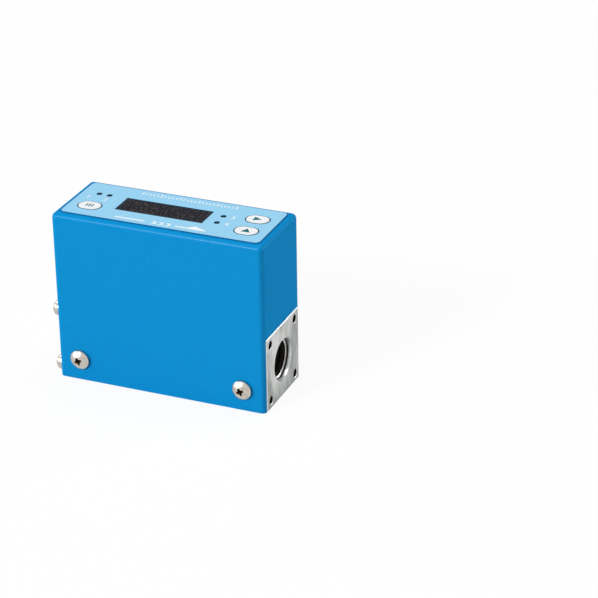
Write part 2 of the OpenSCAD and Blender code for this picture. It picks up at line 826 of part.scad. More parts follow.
// Shrouded socket with a keying slot in its outer wall
module connector_socket() {
    slot_w = 3;
    slot_l = 2.5;
    floor_x = connector_x + socket_depth;
    color(plastic_black) difference() {
        translate([connector_x, connector_front, connector_z - connector_h / 2])
            cube([connector_l, connector_d, connector_h]);
        translate([connector_x - cut, connector_front + connector_hall,
                   connector_z - connector_h / 2 + connector_hall])
            cube([socket_depth + cut, connector_d - 2 * connector_hall, connector_h - 2 * connector_hall]);
        translate([connector_x - cut, connector_front - cut, connector_z - slot_w / 2])
            cube([slot_l + cut, connector_hall + 2 * cut, slot_w]);
        at_pins() translate([floor_x - cut, -pin_w / 2 - pin_hole_gap, -pin_w / 2 - pin_hole_gap])
            cube([connector_l, pin_w + 2 * pin_hole_gap, pin_w + 2 * pin_hole_gap]);
    }
}

// Four pairs of pins in the socket
module at_pins() {
    for (row = [-0.5, 0.5], i = [-1.5:1.5])
        translate([0, main_front - connector_d / 2 + row * pin_pitch, connector_z + i * pin_pitch])
            children();
}

module connector_pins() {
    tip_x = connector_x + plug_room;
    back_x = connector_x + connector_l + pin_tail;
    color("#d8c070") at_pins() translate([tip_x, -pin_w / 2, -pin_w / 2])
        cube([back_x - tip_x, pin_w, pin_w]);
}

module flow_body() {
    body_l = block_l / 2 - joint_x;
    color(steel) difference() {
        translate([(block_l / 2 + joint_x) / 2, 0, 0])
            chamfered_block(body_l, block_d, block_h, block_chamfer);
        translate([0, 0, port_z]) {
            translate([block_l / 2, 0, 0]) port_room(port_depth);
            bar_x(joint_x - cut, chamber_d, element_end_x - joint_x + cut);
            bar_x(element_end_x - eps, plenum_d, plenum_l);
            bar_x(element_end_x, passage_d, block_l / 2 - port_depth - element_end_x + eps);
            bar_x(ring_x, chamber_d + 2 * ring_groove, ring_t + ring_play);
            bar_x(joint_x - cut, chamber_d + 2 * screen_seat, screen_t + cut);
            translate([joint_x - cut, 0, 0]) rotate([0, 90, 0]) difference() {
                cylinder(h = inlet_seal_h + cut, r = seal_ring_r + inlet_seal_d / 2 + seal_room / 2);
                translate([0, 0, -cut])
                    cylinder(h = inlet_seal_h + 3 * cut, r = seal_ring_r - inlet_seal_d / 2 - seal_room / 2);
            }
        }
        at_port_holes(block_l / 2 - port_hole_depth) rotate([0, 90, 0]) {
            cylinder(h = port_hole_depth + cut, d = m3_drill_d);
            translate([0, 0, port_hole_depth - hole_countersink])
                cylinder(h = hole_countersink + eps, d1 = m3_drill_d,
                         d2 = m3_drill_d + 2 * hole_countersink);
        }
        at_port_holes(joint_x - cut) rotate([0, 90, 0])
            cylinder(h = inlet_grip + cut + tapped_end_gap + screw_tip, d = inlet_thread_d);
        right_cover_holes();
        for (x = [-tap_pitch / 2, tap_pitch / 2]) translate([x, 0, port_z]) cylinder(h = block_h, d = tap_d);
        for (x = [-sensor_screw_x, sensor_screw_x], y = [-sensor_screw_y, sensor_screw_y])
            translate([x, y, block_h - tapped_depth]) cylinder(h = tapped_depth + cut, d = m3_drill_d);
        for (x = [-bracket_x, bracket_x]) translate([x, bracket_hole_y, block_h - tapped_depth])
            cylinder(h = tapped_depth + cut, d = m3_drill_d);
        for (x = [-base_hole_pitch / 2, base_hole_pitch / 2]) translate([x, 0, -cut])
            cylinder(h = base_hole_depth + cut, d = m4_drill_d);
    }
}

module right_cover_holes() {
    for (side = [-1, 1]) translate([cover_screw_x, side * block_d / 2, cover_screw_z])
        rotate([90 * side, 0, 0]) translate([0, 0, -cut])
            cylinder(h = cover_hole_depth + cut, d = m4_drill_d);
}

module inlet_flange() {
    color(steel) difference() {
        translate([(joint_x - block_l / 2) / 2, 0, 0])
            chamfered_block(flange_l, block_d, block_h, block_chamfer);
        translate([-block_l / 2, 0, port_z]) mirror([1, 0, 0]) port_room(flange_l + cut);
        at_port_holes(-block_l / 2 - cut) rotate([0, 90, 0]) cylinder(h = flange_l + 2 * cut, d = m3_clear_d);
        mirror([1, 0, 0]) right_cover_holes();
    }
}

module inlet_screws() {
    color(bright_steel) at_port_holes(-block_l / 2 - washer_t) rotate([0, -90, 0])
        pan_screw(m3_head_d, m3_head_h, inlet_thread_d - 2 * thread_gap,
                  washer_t + flange_l + inlet_grip, 30);
}

// Split rings, each cut through on a slant
module inlet_spring_washers() {
    color(bright_steel) at_port_holes(-block_l / 2) rotate([0, -90, 0]) difference() {
        cylinder(h = washer_t, d = washer_d);
        translate([0, 0, -cut]) cylinder(h = washer_t + 2 * cut, d = m3_clear_d - 0.2);
        translate([washer_d / 2 - 0.5, 0, washer_t / 2]) rotate([35, 0, 0])
            cube([washer_d / 2, 0.4, washer_t * 4], center = true);
    }
}

module inlet_seal() {
    color(rubber_black) translate([joint_x + inlet_seal_h / 2, 0, port_z]) rotate([0, 90, 0])
        squeezed_seal(seal_ring_r, inlet_seal_d, inlet_seal_h);
}

module inlet_screen() {
    hole_d = 1.2;
    pitch = 1.8;
    reach = chamber_d / 2 - 0.8;
    rows = ceil(reach / (pitch * 0.866));
    color("#a0a4a6") translate([joint_x, 0, port_z]) rotate([0, 90, 0]) difference() {
        cylinder(h = screen_t, r = chamber_d / 2 + screen_seat - 0.1);
        hole_field(pitch, reach, rows) translate([0, 0, -cut])
            cylinder(h = screen_t + 2 * cut, d = hole_d, $fn = 16);
    }
}

// Holes on a triangular grid inside a circle
module hole_field(pitch, reach, rows) {
    for (j = [-rows:rows], i = [-rows - 2:rows + 2]) {
        x = (i + (j % 2 == 0 ? 0 : 0.5)) * pitch;
        y = j * pitch * 0.866;
        if (norm([x, y]) < reach) translate([x, y, 0]) children();
    }
}

module laminar_element() {
    groove_l = element_seal_d + 0.3;
    element_d = chamber_d - 2 * element_gap;
    groove_d = chamber_d - 2 * element_seal_h;
    reach = groove_d / 2 - capillary_d / 2 - 0.3;
    color("#c2c4c2") translate([element_start_x, 0, port_z]) rotate([0, 90, 0]) difference() {
        cylinder(h = element_l, d = element_d);
        hole_field(capillary_pitch, reach, 3) translate([0, 0, -cut])
            cylinder(h = element_l + 2 * cut, d = capillary_d, $fn = 16);
        translate([0, 0, element_l / 2 - groove_l / 2]) difference() {
            cylinder(h = groove_l, d = chamber_d + cut);
            translate([0, 0, -cut]) cylinder(h = groove_l + 2 * cut, d = groove_d);
        }
    }
}

module element_seal() {
    inner_r = chamber_d / 2 - element_seal_h;
    color(rubber_black) translate([element_start_x + element_l / 2, 0, port_z]) rotate([0, 90, 0])
        rotate_extrude() intersection() {
            translate([chamber_d / 2 - element_seal_h / 2, 0]) circle(element_seal_d / 2, $fn = 32);
            translate([inner_r, -element_seal_d]) square([element_seal_h, 2 * element_seal_d]);
        }
}

module element_retaining_ring() {
    ring_w = 1.6;
    mouth = 4;
    outer_r = chamber_d / 2 + ring_groove - ring_play;
    color(bright_steel) translate([ring_x, 0, port_z]) rotate([0, 90, 0]) difference() {
        cylinder(h = ring_t, r = outer_r);
        translate([0, 0, -cut]) cylinder(h = ring_t + 2 * cut, r = outer_r - ring_w);
        translate([0, -mouth / 2, -cut]) cube([chamber_d, mouth, ring_t + 2 * cut]);
    }
}

module sensor_base() {
    color(steel) difference() {
        translate([-sensor_base_w / 2, -sensor_base_d / 2, block_h])
            cube([sensor_base_w, sensor_base_d, sensor_base_h]);
        for (x = [-tap_pitch / 2, tap_pitch / 2]) translate([x, 0, block_h - cut]) {
            cylinder(h = sensor_base_h + 2 * cut, d = tap_d);
            cylinder(h = tap_seal_h + cut, r = tap_seal_r + tap_seal_d / 2 + seal_room / 2);
        }
        for (x = [-sensor_screw_x, sensor_screw_x], y = [-sensor_screw_y, sensor_screw_y])
            translate([x, y, block_h - cut]) cylinder(h = sensor_base_h + 2 * cut, d = m3_clear_d);
    }
}

module sensor_seals() {
    color(rubber_black) for (x = [-tap_pitch / 2, tap_pitch / 2])
        translate([x, 0, block_h + tap_seal_h / 2]) squeezed_seal(tap_seal_r, tap_seal_d, tap_seal_h);
}

// Path of the bent tube, drawn solid at one diameter
module tube_path(d, overrun) {
    half = tap_pitch / 2;
    foot = sensor_base_top - tube_grip;
    for (side = [-1, 1]) {
        translate([side * half, 0, foot - overrun])
            cylinder(h = tube_level - tube_bend_r - foot + overrun, d = d);
        translate([side * (half - tube_bend_r), 0, tube_level - tube_bend_r]) mirror([side < 0 ? 1 : 0, 0, 0])
            rotate([90, 0, 0]) rotate_extrude(angle = 90) translate([tube_bend_r, 0]) circle(d = d, $fn = 24);
    }
    bar = 2 * (half - tube_bend_r);
    translate([-bar / 2, 0, tube_level]) rotate([0, 90, 0]) cylinder(h = bar, d = d);
}

module sensor_tube() {
    color(bright_steel) difference() {
        tube_path(tube_d, 0);
        tube_path(tube_d - 2 * tube_wall, cut);
    }
}

module sensor_windings() {
    color("#b5713a") translate([0, 0, tube_level]) for (x = [winding_gap / 2, -winding_gap / 2 - winding_l])
        difference() {
            bar_x(x, winding_d, winding_l);
            bar_x(x - cut, tube_d + 0.06, winding_l + 2 * cut);
        }
}

module sensor_can() {
    color("#c4c6c8") translate([0, 0, sensor_base_top]) difference() {
        linear_extrude(can_h) round_rect(can_w, can_d, 1.5);
        translate([0, 0, -cut]) linear_extrude(can_h - can_wall + cut)
            round_rect(can_w - 2 * can_wall, can_d - 2 * can_wall, 1);
        translate([0, can_d / 2, tube_rise]) at_lead_pins(-can_wall - cut)
            cylinder(h = can_wall + 2 * cut, d = lead_bead_d);
    }
}

// The children's z axis turns to point to the rear
module at_lead_pins(y) {
    for (x = lead_pin_places) translate([x, y, 0]) rotate([-90, 0, 0]) children();
}

// Pins that carry the windings' ends through the can's rear wall to the main board
module sensor_pins() {
    from_y = winding_d / 2 + eps;
    color("#d8c070") translate([0, 0, tube_level]) at_lead_pins(from_y)
        cylinder(h = main_front + board_t + 0.8 - from_y, d = lead_pin_d);
}

module sensor_pin_beads() {
    color("#6f8f86") translate([0, 0, tube_level]) at_lead_pins(can_d / 2 - can_wall) difference() {
        cylinder(h = can_wall, d = lead_bead_d - 2 * eps);
        translate([0, 0, -cut]) cylinder(h = can_wall + 2 * cut, d = lead_pin_d + 2 * eps);
    }
}

module sensor_screws() {
    color(bright_steel) for (x = [-sensor_screw_x, sensor_screw_x], y = [-sensor_screw_y, sensor_screw_y])
        translate([x, y, sensor_base_top])
            pan_screw(m3_head_d, m3_head_h, m3_drill_d - 2 * thread_gap,
                      sensor_base_h + tapped_depth - tapped_end_gap - screw_tip, 15);
}

module cover_screws() {
    color(bright_steel) at_cover_screws(cover_d / 2)
        pan_screw(m4_head_d, m4_head_h, m4_drill_d - 2 * thread_gap,
                  cover_wall + cover_gap + cover_hole_depth - tapped_end_gap, 25);
}

cover();
panel_overlay();
display_window();
mode_key();
right_key();
up_key();
mode_switch_plunger();
right_switch_plunger();
up_switch_plunger();
switch_housings();
snap_domes();
indicator_lenses();
indicator_leds();
display_module();
display_board();
display_board_screws();
board_header();
main_board();
board_brackets();
bracket_screws();
processor();
power_converter();
capacitors();
connector_socket();
connector_pins();
flow_body();
inlet_flange();
inlet_screws();
inlet_spring_washers();
inlet_seal();
inlet_screen();
laminar_element();
element_seal();
element_retaining_ring();
sensor_base();
sensor_seals();
sensor_tube();
sensor_windings();
sensor_can();
sensor_pins();
sensor_pin_beads();
sensor_screws();
cover_screws();
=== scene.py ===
import json
import math

import bmesh
import bpy
from mathutils import Matrix, Vector


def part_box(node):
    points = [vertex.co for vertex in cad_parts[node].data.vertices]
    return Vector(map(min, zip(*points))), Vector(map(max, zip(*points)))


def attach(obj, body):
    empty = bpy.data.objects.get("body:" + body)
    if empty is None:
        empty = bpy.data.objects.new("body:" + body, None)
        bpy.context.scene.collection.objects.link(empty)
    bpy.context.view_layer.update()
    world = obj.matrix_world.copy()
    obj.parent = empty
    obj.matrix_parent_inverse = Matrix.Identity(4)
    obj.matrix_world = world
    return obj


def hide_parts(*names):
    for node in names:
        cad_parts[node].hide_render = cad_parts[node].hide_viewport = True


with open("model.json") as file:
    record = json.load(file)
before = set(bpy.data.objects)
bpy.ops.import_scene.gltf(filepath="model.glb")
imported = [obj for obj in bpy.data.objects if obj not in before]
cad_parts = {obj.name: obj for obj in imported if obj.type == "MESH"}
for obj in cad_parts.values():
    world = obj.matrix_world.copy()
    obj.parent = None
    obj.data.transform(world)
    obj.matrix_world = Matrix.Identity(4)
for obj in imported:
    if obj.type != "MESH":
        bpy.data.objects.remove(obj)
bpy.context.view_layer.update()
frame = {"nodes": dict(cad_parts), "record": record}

MM = 0.001

# Places and sizes that the frame gives
PANEL_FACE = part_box("panel_overlay")[1].z
KEY_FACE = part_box("mode_key")[1].z
COVER_LOW, COVER_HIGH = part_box("cover")
BLOCK_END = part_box("flow_body")[1].x
FLANGE_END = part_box("inlet_flange")[0].x
MOUNTS = {mount["name"]: mount for mount in frame["record"]["mounts"]}
PORT_Z = MOUNTS["outlet_port"]["pos_m"][2]
PORT_BORE_R = MOUNTS["outlet_port"]["dims"]["r_mm"] * MM
HOLE_R = MOUNTS["outlet_flange_holes"]["dims"]["hole_r_mm"] * MM
HOLE_REACH = MOUNTS["outlet_flange_holes"]["dims"]["spacing_x_mm"] / 2 * MM

# Sizes of the panel's print and of the pieces under it
PRINT_T = 0.02 * MM
WINDOW_RIM = 1.8 * MM
WINDOW_BORDER = 0.9 * MM
KEY_FLANGE = 1.0 * MM
KEY_GAP = 0.15 * MM
KEY_OUTLINE = 0.3 * MM
KEY_EDGE_R = 0.12 * MM
KEY_LEGEND_ROOM = 0.03 * MM
# Width of the band of painted shade along the panel's edge
PANEL_SHADE_BAND = 0.2 * MM
PANEL_CORNER_R = 2 * MM
SCALE_MARKS = 26
SCALE_PITCH = 1.4 * MM
SCALE_MIDDLE = 1.2 * MM
SCALE_ROW = 9.6 * MM
SCALE_MARK_W = 0.45 * MM
SCALE_SHORT = 1.2 * MM
SCALE_LONG = 1.9 * MM
SCALE_LONG_EVERY = 5
ARROW_ROW = -10.3 * MM
ARROW_LINE = 0.75 * MM
ARROW_PARTS = ((-17.1 * MM, -6.0 * MM), (5.3 * MM, 9.6 * MM))
ARROW_HEAD_START = 9.5 * MM
ARROW_HEAD_END = 16.3 * MM
ARROW_TIP_H = 0.6 * MM
ARROW_BARB = 11.8 * MM
ARROW_BARB_H = 2.5 * MM
CHEVRONS = 3
CHEVRON_START = -3.4 * MM
CHEVRON_PITCH = 2.6 * MM
CHEVRON_HALF = 1.0 * MM
CHEVRON_POINT = 1.1 * MM
NUMBER_SIZE = 3.3 * MM
NUMBER_PLACES = {
    "1": (-32.9 * MM, 1.3 * MM), "2": (-26.2 * MM, 1.0 * MM),
    "3": (20.8 * MM, 2.6 * MM), "4": (20.8 * MM, -2.8 * MM),
}
BAR_PITCH = 1.05 * MM
BAR_W = 0.5 * MM
BAR_L = 2.1 * MM
RIGHT_MARK = ((-1.45 * MM, -1.4 * MM), (1.45 * MM, 0), (-1.45 * MM, 1.4 * MM))
UP_MARK = ((-1.7 * MM, -1.25 * MM), (1.7 * MM, -1.25 * MM), (0, 1.45 * MM))
KEYS = ("mode_key", "right_key", "up_key")

# Work on meshes: how near corners are joined, how near a corner is level with a face, the rise of a
# normal below which its face counts as upright, and the finishes that a cut piece can have
WELD_REACH = 0.0001 * MM
NUMBER_WELD_REACH = 0.0005 * MM
LEVEL_REACH = 0.001 * MM
UPRIGHT = 0.5
FINISH_SLOTS = 3

# Threads: the pipe thread in the ports, cut parallel, and the fine threads round the outlet
PORT_PITCH = 1.337 * MM
PORT_CREST_R = 6.45 * MM
PORT_THREAD_START = 2.6 * MM
PORT_THREAD_END = 11.4 * MM
PORT_THREAD_H = 0.75 * MM
PORT_RECESS_DEPTH = 1.1 * MM
PORT_WALL_DEPTH = 1.6 * MM
PORT_LEAD_DEPTH = 2.15 * MM
PORT_CREST_START = 1.75 * MM
PORT_CREST_END = 2.9 * MM
PORT_MOUTH_R = 7.7 * MM
PORT_STEPS = 48
PORT_CREST_STEPS = 64
M3_PITCH = 0.5 * MM
M3_THREAD_H = 0.25 * MM
M3_CREST_R = 1.55 * MM
M3_THREAD_START = 0.8 * MM
M3_THREAD_END = 6.9 * MM
M3_CREST_START = 0.05 * MM
M3_CREST_END = 0.85 * MM
M3_STEPS = 20
M3_CREST_STEPS = 32
GROOVE_OVERLAP = 0.12 * MM

# A groove's half widths at its mouth and root, as shares of its pitch, and its least depth at its ends
GROOVE_MOUTH = 0.46
GROOVE_ROOT = 0.06
GROOVE_RUNOUT = 0.1

# Steel block: what counts as a chamfer, and how high the painted shade at its foot reaches
CHAMFER_REACH = 0.2 * MM
FACE_REACH = 0.02 * MM
FOOT_SHADE_HEIGHT = 9 * MM

# Screws
HEAD_STEPS = 64
HEAD_UNDERCUT = 0.25 * MM
SCREW_TIP = 0.4 * MM
COVER_SHANK_R = 1.6 * MM
COVER_SHANK_L = 6.5 * MM
INLET_SHANK_R = 1.4 * MM
WASHER_T = 0.8 * MM
COVER_SCREW_TURN = 25
INLET_SCREW_TURN = 30
DOME_STEPS = 12

# Shares of a screw head's undercut, where its corner bends, and of its height: its side, the punch's ends
BEND_SHARE = 0.3
SIDE_SHARE = 0.4
PUNCH_LOW = 0.22
PUNCH_HIGH = 1.1

# The punched cross, as shares of a head's radius, and the scale of its outline at its tip and mouth
CROSS_REACH = 0.42
CROSS_WING = 0.1
CROSS_WEB = 0.17
CROSS_TIP = 0.35
CROSS_MOUTH = 1.1

# Finishes: the noise's values at the dark and light tones, the shifts that clouds and the painted shade at
# its foot give the steel, and the length of the wave texture's band at scale 1
TONE_DARK = 0.3
TONE_LIGHT = 0.7
CLOUD_SHIFT = 0.2
FOOT_SHADE_SHIFT = 0.22
WAVE_LENGTH = 0.31

# Studio
LAMP_DISTANCE = 3.0
WORLD_LIGHT = 0.17
FLOOR_HALF = 4.0
FLOOR_SHARE = 0.86
FLOOR_GLOW = 1.05


def colour(text):
    """An sRGB hex colour as linear red, green, blue and alpha."""
    values = [int(text[i:i + 2], 16) / 255 for i in (1, 3, 5)]
    linear = [v / 12.92 if v <= 0.04045 else ((v + 0.055) / 1.055) ** 2.4 for v in values]
    return (*linear, 1.0)


def add(tree, kind, inputs=None, **settings):
    """Adds a shader node, with its settings, and its inputs as values or as other nodes' outputs."""
    made = tree.nodes.new("ShaderNode" + kind)
    for name, value in settings.items():
        setattr(made, name, value)
    for name, value in (inputs or {}).items():
        if isinstance(value, bpy.types.NodeSocket):
            tree.links.new(value, made.inputs[name])
        else:
            made.inputs[name].default_value = value
    return made


def new_material(name, **shader):
    """A material with its shader's own sockets set. Gives the material, its tree and its shader."""
    material = bpy.data.materials.new(name)
    material.use_nodes = True
    tree = material.node_tree
    surface = tree.nodes["Principled BSDF"]
    for socket, value in shader.items():
        surface.inputs[socket.replace("_", " ")].default_value = value
    return material, tree, surface


def texture_noise(tree, size, stretch=(1, 1, 1), detail=3, shift=0.0):
    """Noise whose features are about size across, longer along an axis where stretch is above 1."""
    place = add(tree, "TexCoord")
    scale = [1 / (size * s) for s in stretch]
    placed = add(tree, "Mapping", {"Vector": place.outputs["Object"], "Scale": scale,
                                   "Location": (shift, shift, shift)})
    noise = add(tree, "TexNoise", {"Vector": placed.outputs["Vector"], "Scale": 1.0, "Detail": detail})
    return noise.outputs["Fac"]


def vary(tree, surface, fac, dark, light, rough_low, rough_high):
    """The noise moves the colour between two tones and the roughness between two values."""
    ramp = add(tree, "ValToRGB", {"Fac": fac})
    ramp.color_ramp.elements[0].position = TONE_DARK
    ramp.color_ramp.elements[0].color = colour(dark)
    ramp.color_ramp.elements[1].position = TONE_LIGHT
    ramp.color_ramp.elements[1].color = colour(light)
    tree.links.new(ramp.outputs["Color"], surface.inputs["Base Color"])
    rough = add(tree, "MapRange", {"Value": fac, "To Min": rough_low, "To Max": rough_high})
    tree.links.new(rough.outputs["Result"], surface.inputs["Roughness"])
    return ramp


def relief(tree, surface, fac, height, strength=1.0):
    """The noise raises the surface by up to height."""
    bump = add(tree, "Bump", {"Height": fac, "Distance": height, "Strength": strength})
    tree.links.new(bump.outputs["Normal"], surface.inputs["Normal"])


def grained(name, dark, light, rough, grain, height, **shader):
    """A moulded, sprayed or pressed finish: an even grain with no direction."""
    material, tree, surface = new_material(name, **shader)
    fac = texture_noise(tree, grain)
    vary(tree, surface, fac, dark, light, rough[0], rough[1])
    relief(tree, surface, fac, height)
    return material


def streaked(name, dark, light, rough, width, stretch, height, **shader):
    """A metal worked in one direction: fine streaks along the axis with the long stretch."""
    material, tree, surface = new_material(name, Metallic=1.0, **shader)
    fac = texture_noise(tree, width, stretch, detail=4)
    vary(tree, surface, fac, dark, light, rough[0], rough[1])
    relief(tree, surface, fac, height)
    return material


def baked_enamel():
    # Sprayed and baked enamel: a satin blue skin with a faint orange peel that softens its highlights.
    # Its only gloss is a faint coat: flat faces keep their full blue, and rounded edges take a pale line.
    return grained("satin_baked_enamel", "#008bcd", "#0290d1", (0.36, 0.44), 1.1 * MM, 0.004 * MM,
                   Specular_IOR_Level=0.0, Coat_Weight=0.04, Coat_IOR=2.5, Coat_Roughness=0.27)


def printed_film():
    # Screen-printed polyester film: pale blue and even, with a fine matt tooth that spreads reflections.
    return grained("printed_polyester_film", "#99d4f4", "#9fd9f8", (0.5, 0.6), 0.5 * MM, 0.002 * MM,
                   Specular_IOR_Level=0.08)


def painted_shade_film_edge():
    # Knife-cut edge of the film: a thin dark blue line, which is painted shade along the edge.
    return grained("film_edge_painted_shade", "#145f93", "#1a6ba2", (0.55, 0.7), 0.3 * MM, 0.002 * MM,
                   Specular_IOR_Level=0.05)


def white_ink():
    # Screen-printed white ink: an opaque, slightly chalky layer on the film.
    return grained("screen_printed_white_ink", "#f2f7fa", "#fbfdff", (0.5, 0.62), 0.4 * MM, 0.002 * MM,
                   Specular_IOR_Level=0.2)


def teal_ink():
    # Screen-printed dark teal ink: thin, with edges that look almost black beside the white keys.
    return grained("screen_printed_teal_ink", "#0e6066", "#187478", (0.45, 0.55), 0.4 * MM, 0.002 * MM,
                   Specular_IOR_Level=0.05)


def outline_ink():
    # Screen-printed dark blue line: a crisp edge between the pale film and the white keys.
    return grained("screen_printed_outline_ink", "#123c58", "#1a4664", (0.45, 0.55), 0.4 * MM, 0.002 * MM,
                   Specular_IOR_Level=0.05)


def window_ink():
    # Black ink printed behind the window's edge: a smooth blue-black frame.
    return grained("window_border_ink", "#0c1c28", "#12242f", (0.35, 0.42), 0.6 * MM, 0.001 * MM,
                   Specular_IOR_Level=0.05)


def tinted_acrylic():
    # Cast acrylic tinted smoke grey, over a dotted display: blue-black, with a fine warm speckle.
    # The dots are drawn at 0.75 mm, coarser than real ones, so that they show.
    material, tree, surface = new_material("tinted_acrylic_window", Specular_IOR_Level=0.025, Roughness=0.3)
    place = add(tree, "TexCoord")
    dots = add(tree, "TexVoronoi", {"Vector": place.outputs["Object"], "Scale": 1 / (0.75 * MM),
                                    "Randomness": 0.8})
    ramp = add(tree, "ValToRGB", {"Fac": dots.outputs["Distance"]})
    ramp.color_ramp.elements[0].position = 0.1
    ramp.color_ramp.elements[0].color = colour("#755f62")
    ramp.color_ramp.elements[1].position = 0.42
    ramp.color_ramp.elements[1].color = colour("#060c16")
    tree.links.new(ramp.outputs["Color"], surface.inputs["Base Color"])
    return material


def moulded_key():
    # Injection-moulded white ABS: clean white with a soft sheen and a faint spark-eroded grain.
    return grained("moulded_white_abs", "#f1f5f7", "#f7fafb", (0.4, 0.5), 0.35 * MM, 0.002 * MM,
                   Specular_IOR_Level=0.15)


def moulded_black():
    # Moulded black acetal: dark and slightly waxy.
    return grained("moulded_black_acetal", "#202022", "#2a2a2c", (0.4, 0.52), 0.4 * MM, 0.004 * MM)


def lens_acrylic():
    # Moulded dark clear acrylic: an unlit lamp, deep blue-black with a glossy face.
    return grained("dark_clear_acrylic", "#02283c", "#053448", (0.2, 0.28), 0.8 * MM, 0.001 * MM,
                   Specular_IOR_Level=0.02)


def lamp_chip():
    # Moulded lamp package: cream white with a slight translucency in its grain.
    return grained("moulded_lamp_package", "#e6e1c8", "#f0ecd8", (0.35, 0.45), 0.3 * MM, 0.003 * MM)


def module_plastic():
    # Moulded display body: dark grey with a dull tooled face.
    return grained("moulded_display_body", "#2e2e31", "#3a3a3d", (0.5, 0.62), 0.35 * MM, 0.004 * MM)


def solder_mask():
    # Epoxy glass board under green mask: the copper tracks show as lighter ridges below the gloss.
    material, tree, surface = new_material("glass_epoxy_board", Coat_Weight=0.3, Coat_Roughness=0.15)
    place = add(tree, "TexCoord")
    tracks = add(tree, "TexBrick", {
        "Vector": place.outputs["Object"], "Scale": 1 / (2.5 * MM), "Mortar Size": 0.045,
        "Color1": colour("#14502f"), "Color2": colour("#17573a"), "Mortar": colour("#2f7d4c"),
    })
    tree.links.new(tracks.outputs["Color"], surface.inputs["Base Color"])
    rough = add(tree, "MapRange", {"Value": texture_noise(tree, 0.8 * MM), "To Min": 0.3, "To Max": 0.42})
    tree.links.new(rough.outputs["Result"], surface.inputs["Roughness"])
    relief(tree, surface, tracks.outputs["Fac"], 0.02 * MM, 0.5)
    return material


def plated_screw():
    # Cold-headed steel with bright nickel plate: near-mirror domes with faint forming marks.
    return grained("bright_nickel_plate", "#b4aea6", "#cfc9c1", (0.2, 0.28), 0.9 * MM, 0.002 * MM,
                   Metallic=1.0)


def painted_shade_recess():
    # Punched cross recess: dull flanks whose dark brown-grey colour is painted shade.
    return grained("screw_recess_painted_shade", "#3d2c1c", "#584229", (0.5, 0.65), 0.3 * MM, 0.004 * MM,
                   Metallic=0.6, Specular_IOR_Level=0.1)


def spring_steel():
    # Rolled and hardened spring steel: bright, with grey rolling streaks round each ring.
    return streaked("rolled_spring_steel", "#a9a9a6", "#c4c4c0", (0.22, 0.34), 0.25 * MM, (1, 1, 6),
                    0.004 * MM)


def folded_brass():
    # Folded brass sheet: warm yellow with rolling streaks along its length.
    return streaked("rolled_brass_sheet", "#b89a55", "#d0b46c", (0.25, 0.36), 0.3 * MM, (8, 1, 8), 0.004 * MM)


def chip_epoxy():
    # Transfer-moulded epoxy: charcoal with a fine sandy face.
    return grained("moulded_chip_epoxy", "#26272a", "#323438", (0.5, 0.65), 0.2 * MM, 0.004 * MM)


def drawn_aluminium():
    # Drawn aluminium can: pale silver with lines along the draw.
    return streaked("drawn_aluminium_can", "#bcbdc0", "#d2d3d6", (0.24, 0.36), 0.2 * MM, (1, 10, 1),
                    0.003 * MM)


def filled_nylon():
    # Glass-filled nylon: black, with pale fibre flecks in a dull face.
    return grained("glass_filled_nylon", "#161617", "#29292b", (0.45, 0.62), 0.18 * MM, 0.006 * MM)


def gold_flash():
    # Gold flash over stamped brass: warm and bright, with stamping lines along each pin.
    return streaked("gold_flashed_brass", "#cfae5c", "#e4c87c", (0.18, 0.3), 0.12 * MM, (12, 1, 1),
                    0.002 * MM)


def milled_stainless():
    # Stainless bar, face-milled and lightly ground: grey with fine upright streaks and slow tonal clouds.
    # Its colour darkens towards its foot: painted shade.
    # The streaks are drawn at 0.35 mm, wider than the real grinding lines, so that they show.
    material, tree, surface = new_material("milled_stainless_block", Metallic=1.0)
    streaks = texture_noise(tree, 0.35 * MM, (1, 1, 14), detail=5)
    clouds = texture_noise(tree, 7 * MM, (1, 1, 2.5), detail=2, shift=3.0)
    fac = add(tree, "MapRange", {"Value": clouds, "From Min": TONE_DARK, "From Max": TONE_LIGHT,
                                 "To Min": -CLOUD_SHIFT, "To Max": CLOUD_SHIFT})
    mixed = add(tree, "Math", {0: streaks, 1: fac.outputs["Result"]}, operation="ADD")
    place = add(tree, "TexCoord")
    # Painted shade: the colour darkens towards the block's foot
    height = add(tree, "SeparateXYZ", {"Vector": place.outputs["Object"]})
    film = add(tree, "MapRange", {"Value": height.outputs["Z"], "From Min": 0.0, "From Max": FOOT_SHADE_HEIGHT,
                                  "To Min": -FOOT_SHADE_SHIFT, "To Max": 0.0})
    mixed = add(tree, "Math", {0: mixed.outputs["Value"], 1: film.outputs["Result"]}, operation="ADD")
    vary(tree, surface, mixed.outputs["Value"], "#838784", "#d2d3d1", 0.3, 0.42)
    relief(tree, surface, streaks, 0.006 * MM)
    return material


def painted_shade_bore():
    # Drilled and tapped stainless: rough, with grey-brown thread flanks; its colour is darkened almost to
    # black as painted shade of the deep holes.
    return grained("tapped_stainless_bore_painted_shade", "#2a2523", "#453d38", (0.42, 0.6), 0.3 * MM, 0.006 * MM,
                   Metallic=0.8, Specular_IOR_Level=0.1)


def flared_steel():
    # Turned and polished flare of the port: a bright ring with faint turning marks.
    return streaked("polished_stainless_flare", "#bcbfbf", "#d6d9d9", (0.26, 0.36), 0.2 * MM, (1, 7, 7),
                    0.002 * MM)


def moulded_rubber():
    # Compression-moulded nitrile rubber: matt black with a light bloom.
    return grained("moulded_nitrile_rubber", "#18181a", "#252527", (0.65, 0.8), 0.4 * MM, 0.006 * MM)


def perforated_screen():
    # Perforated stainless sheet: dull silver with rolling streaks.
    return streaked("perforated_stainless_sheet", "#9a9da0", "#b4b7b9", (0.3, 0.42), 0.25 * MM, (1, 8, 1),
                    0.003 * MM)


def turned_stainless():
    # Turned stainless bar: bright, with close tool marks round the axis.
    return streaked("turned_stainless_bar", "#b0b2b0", "#c8cac8", (0.2, 0.32), 0.2 * MM, (1, 9, 9),
                    0.005 * MM)


def drawn_capillary():
    # Drawn stainless capillary: smooth and bright, with long die lines.
    return streaked("drawn_stainless_capillary", "#b8b9b7", "#d2d3d0", (0.15, 0.25), 0.12 * MM, (10, 1, 10),
                    0.001 * MM)


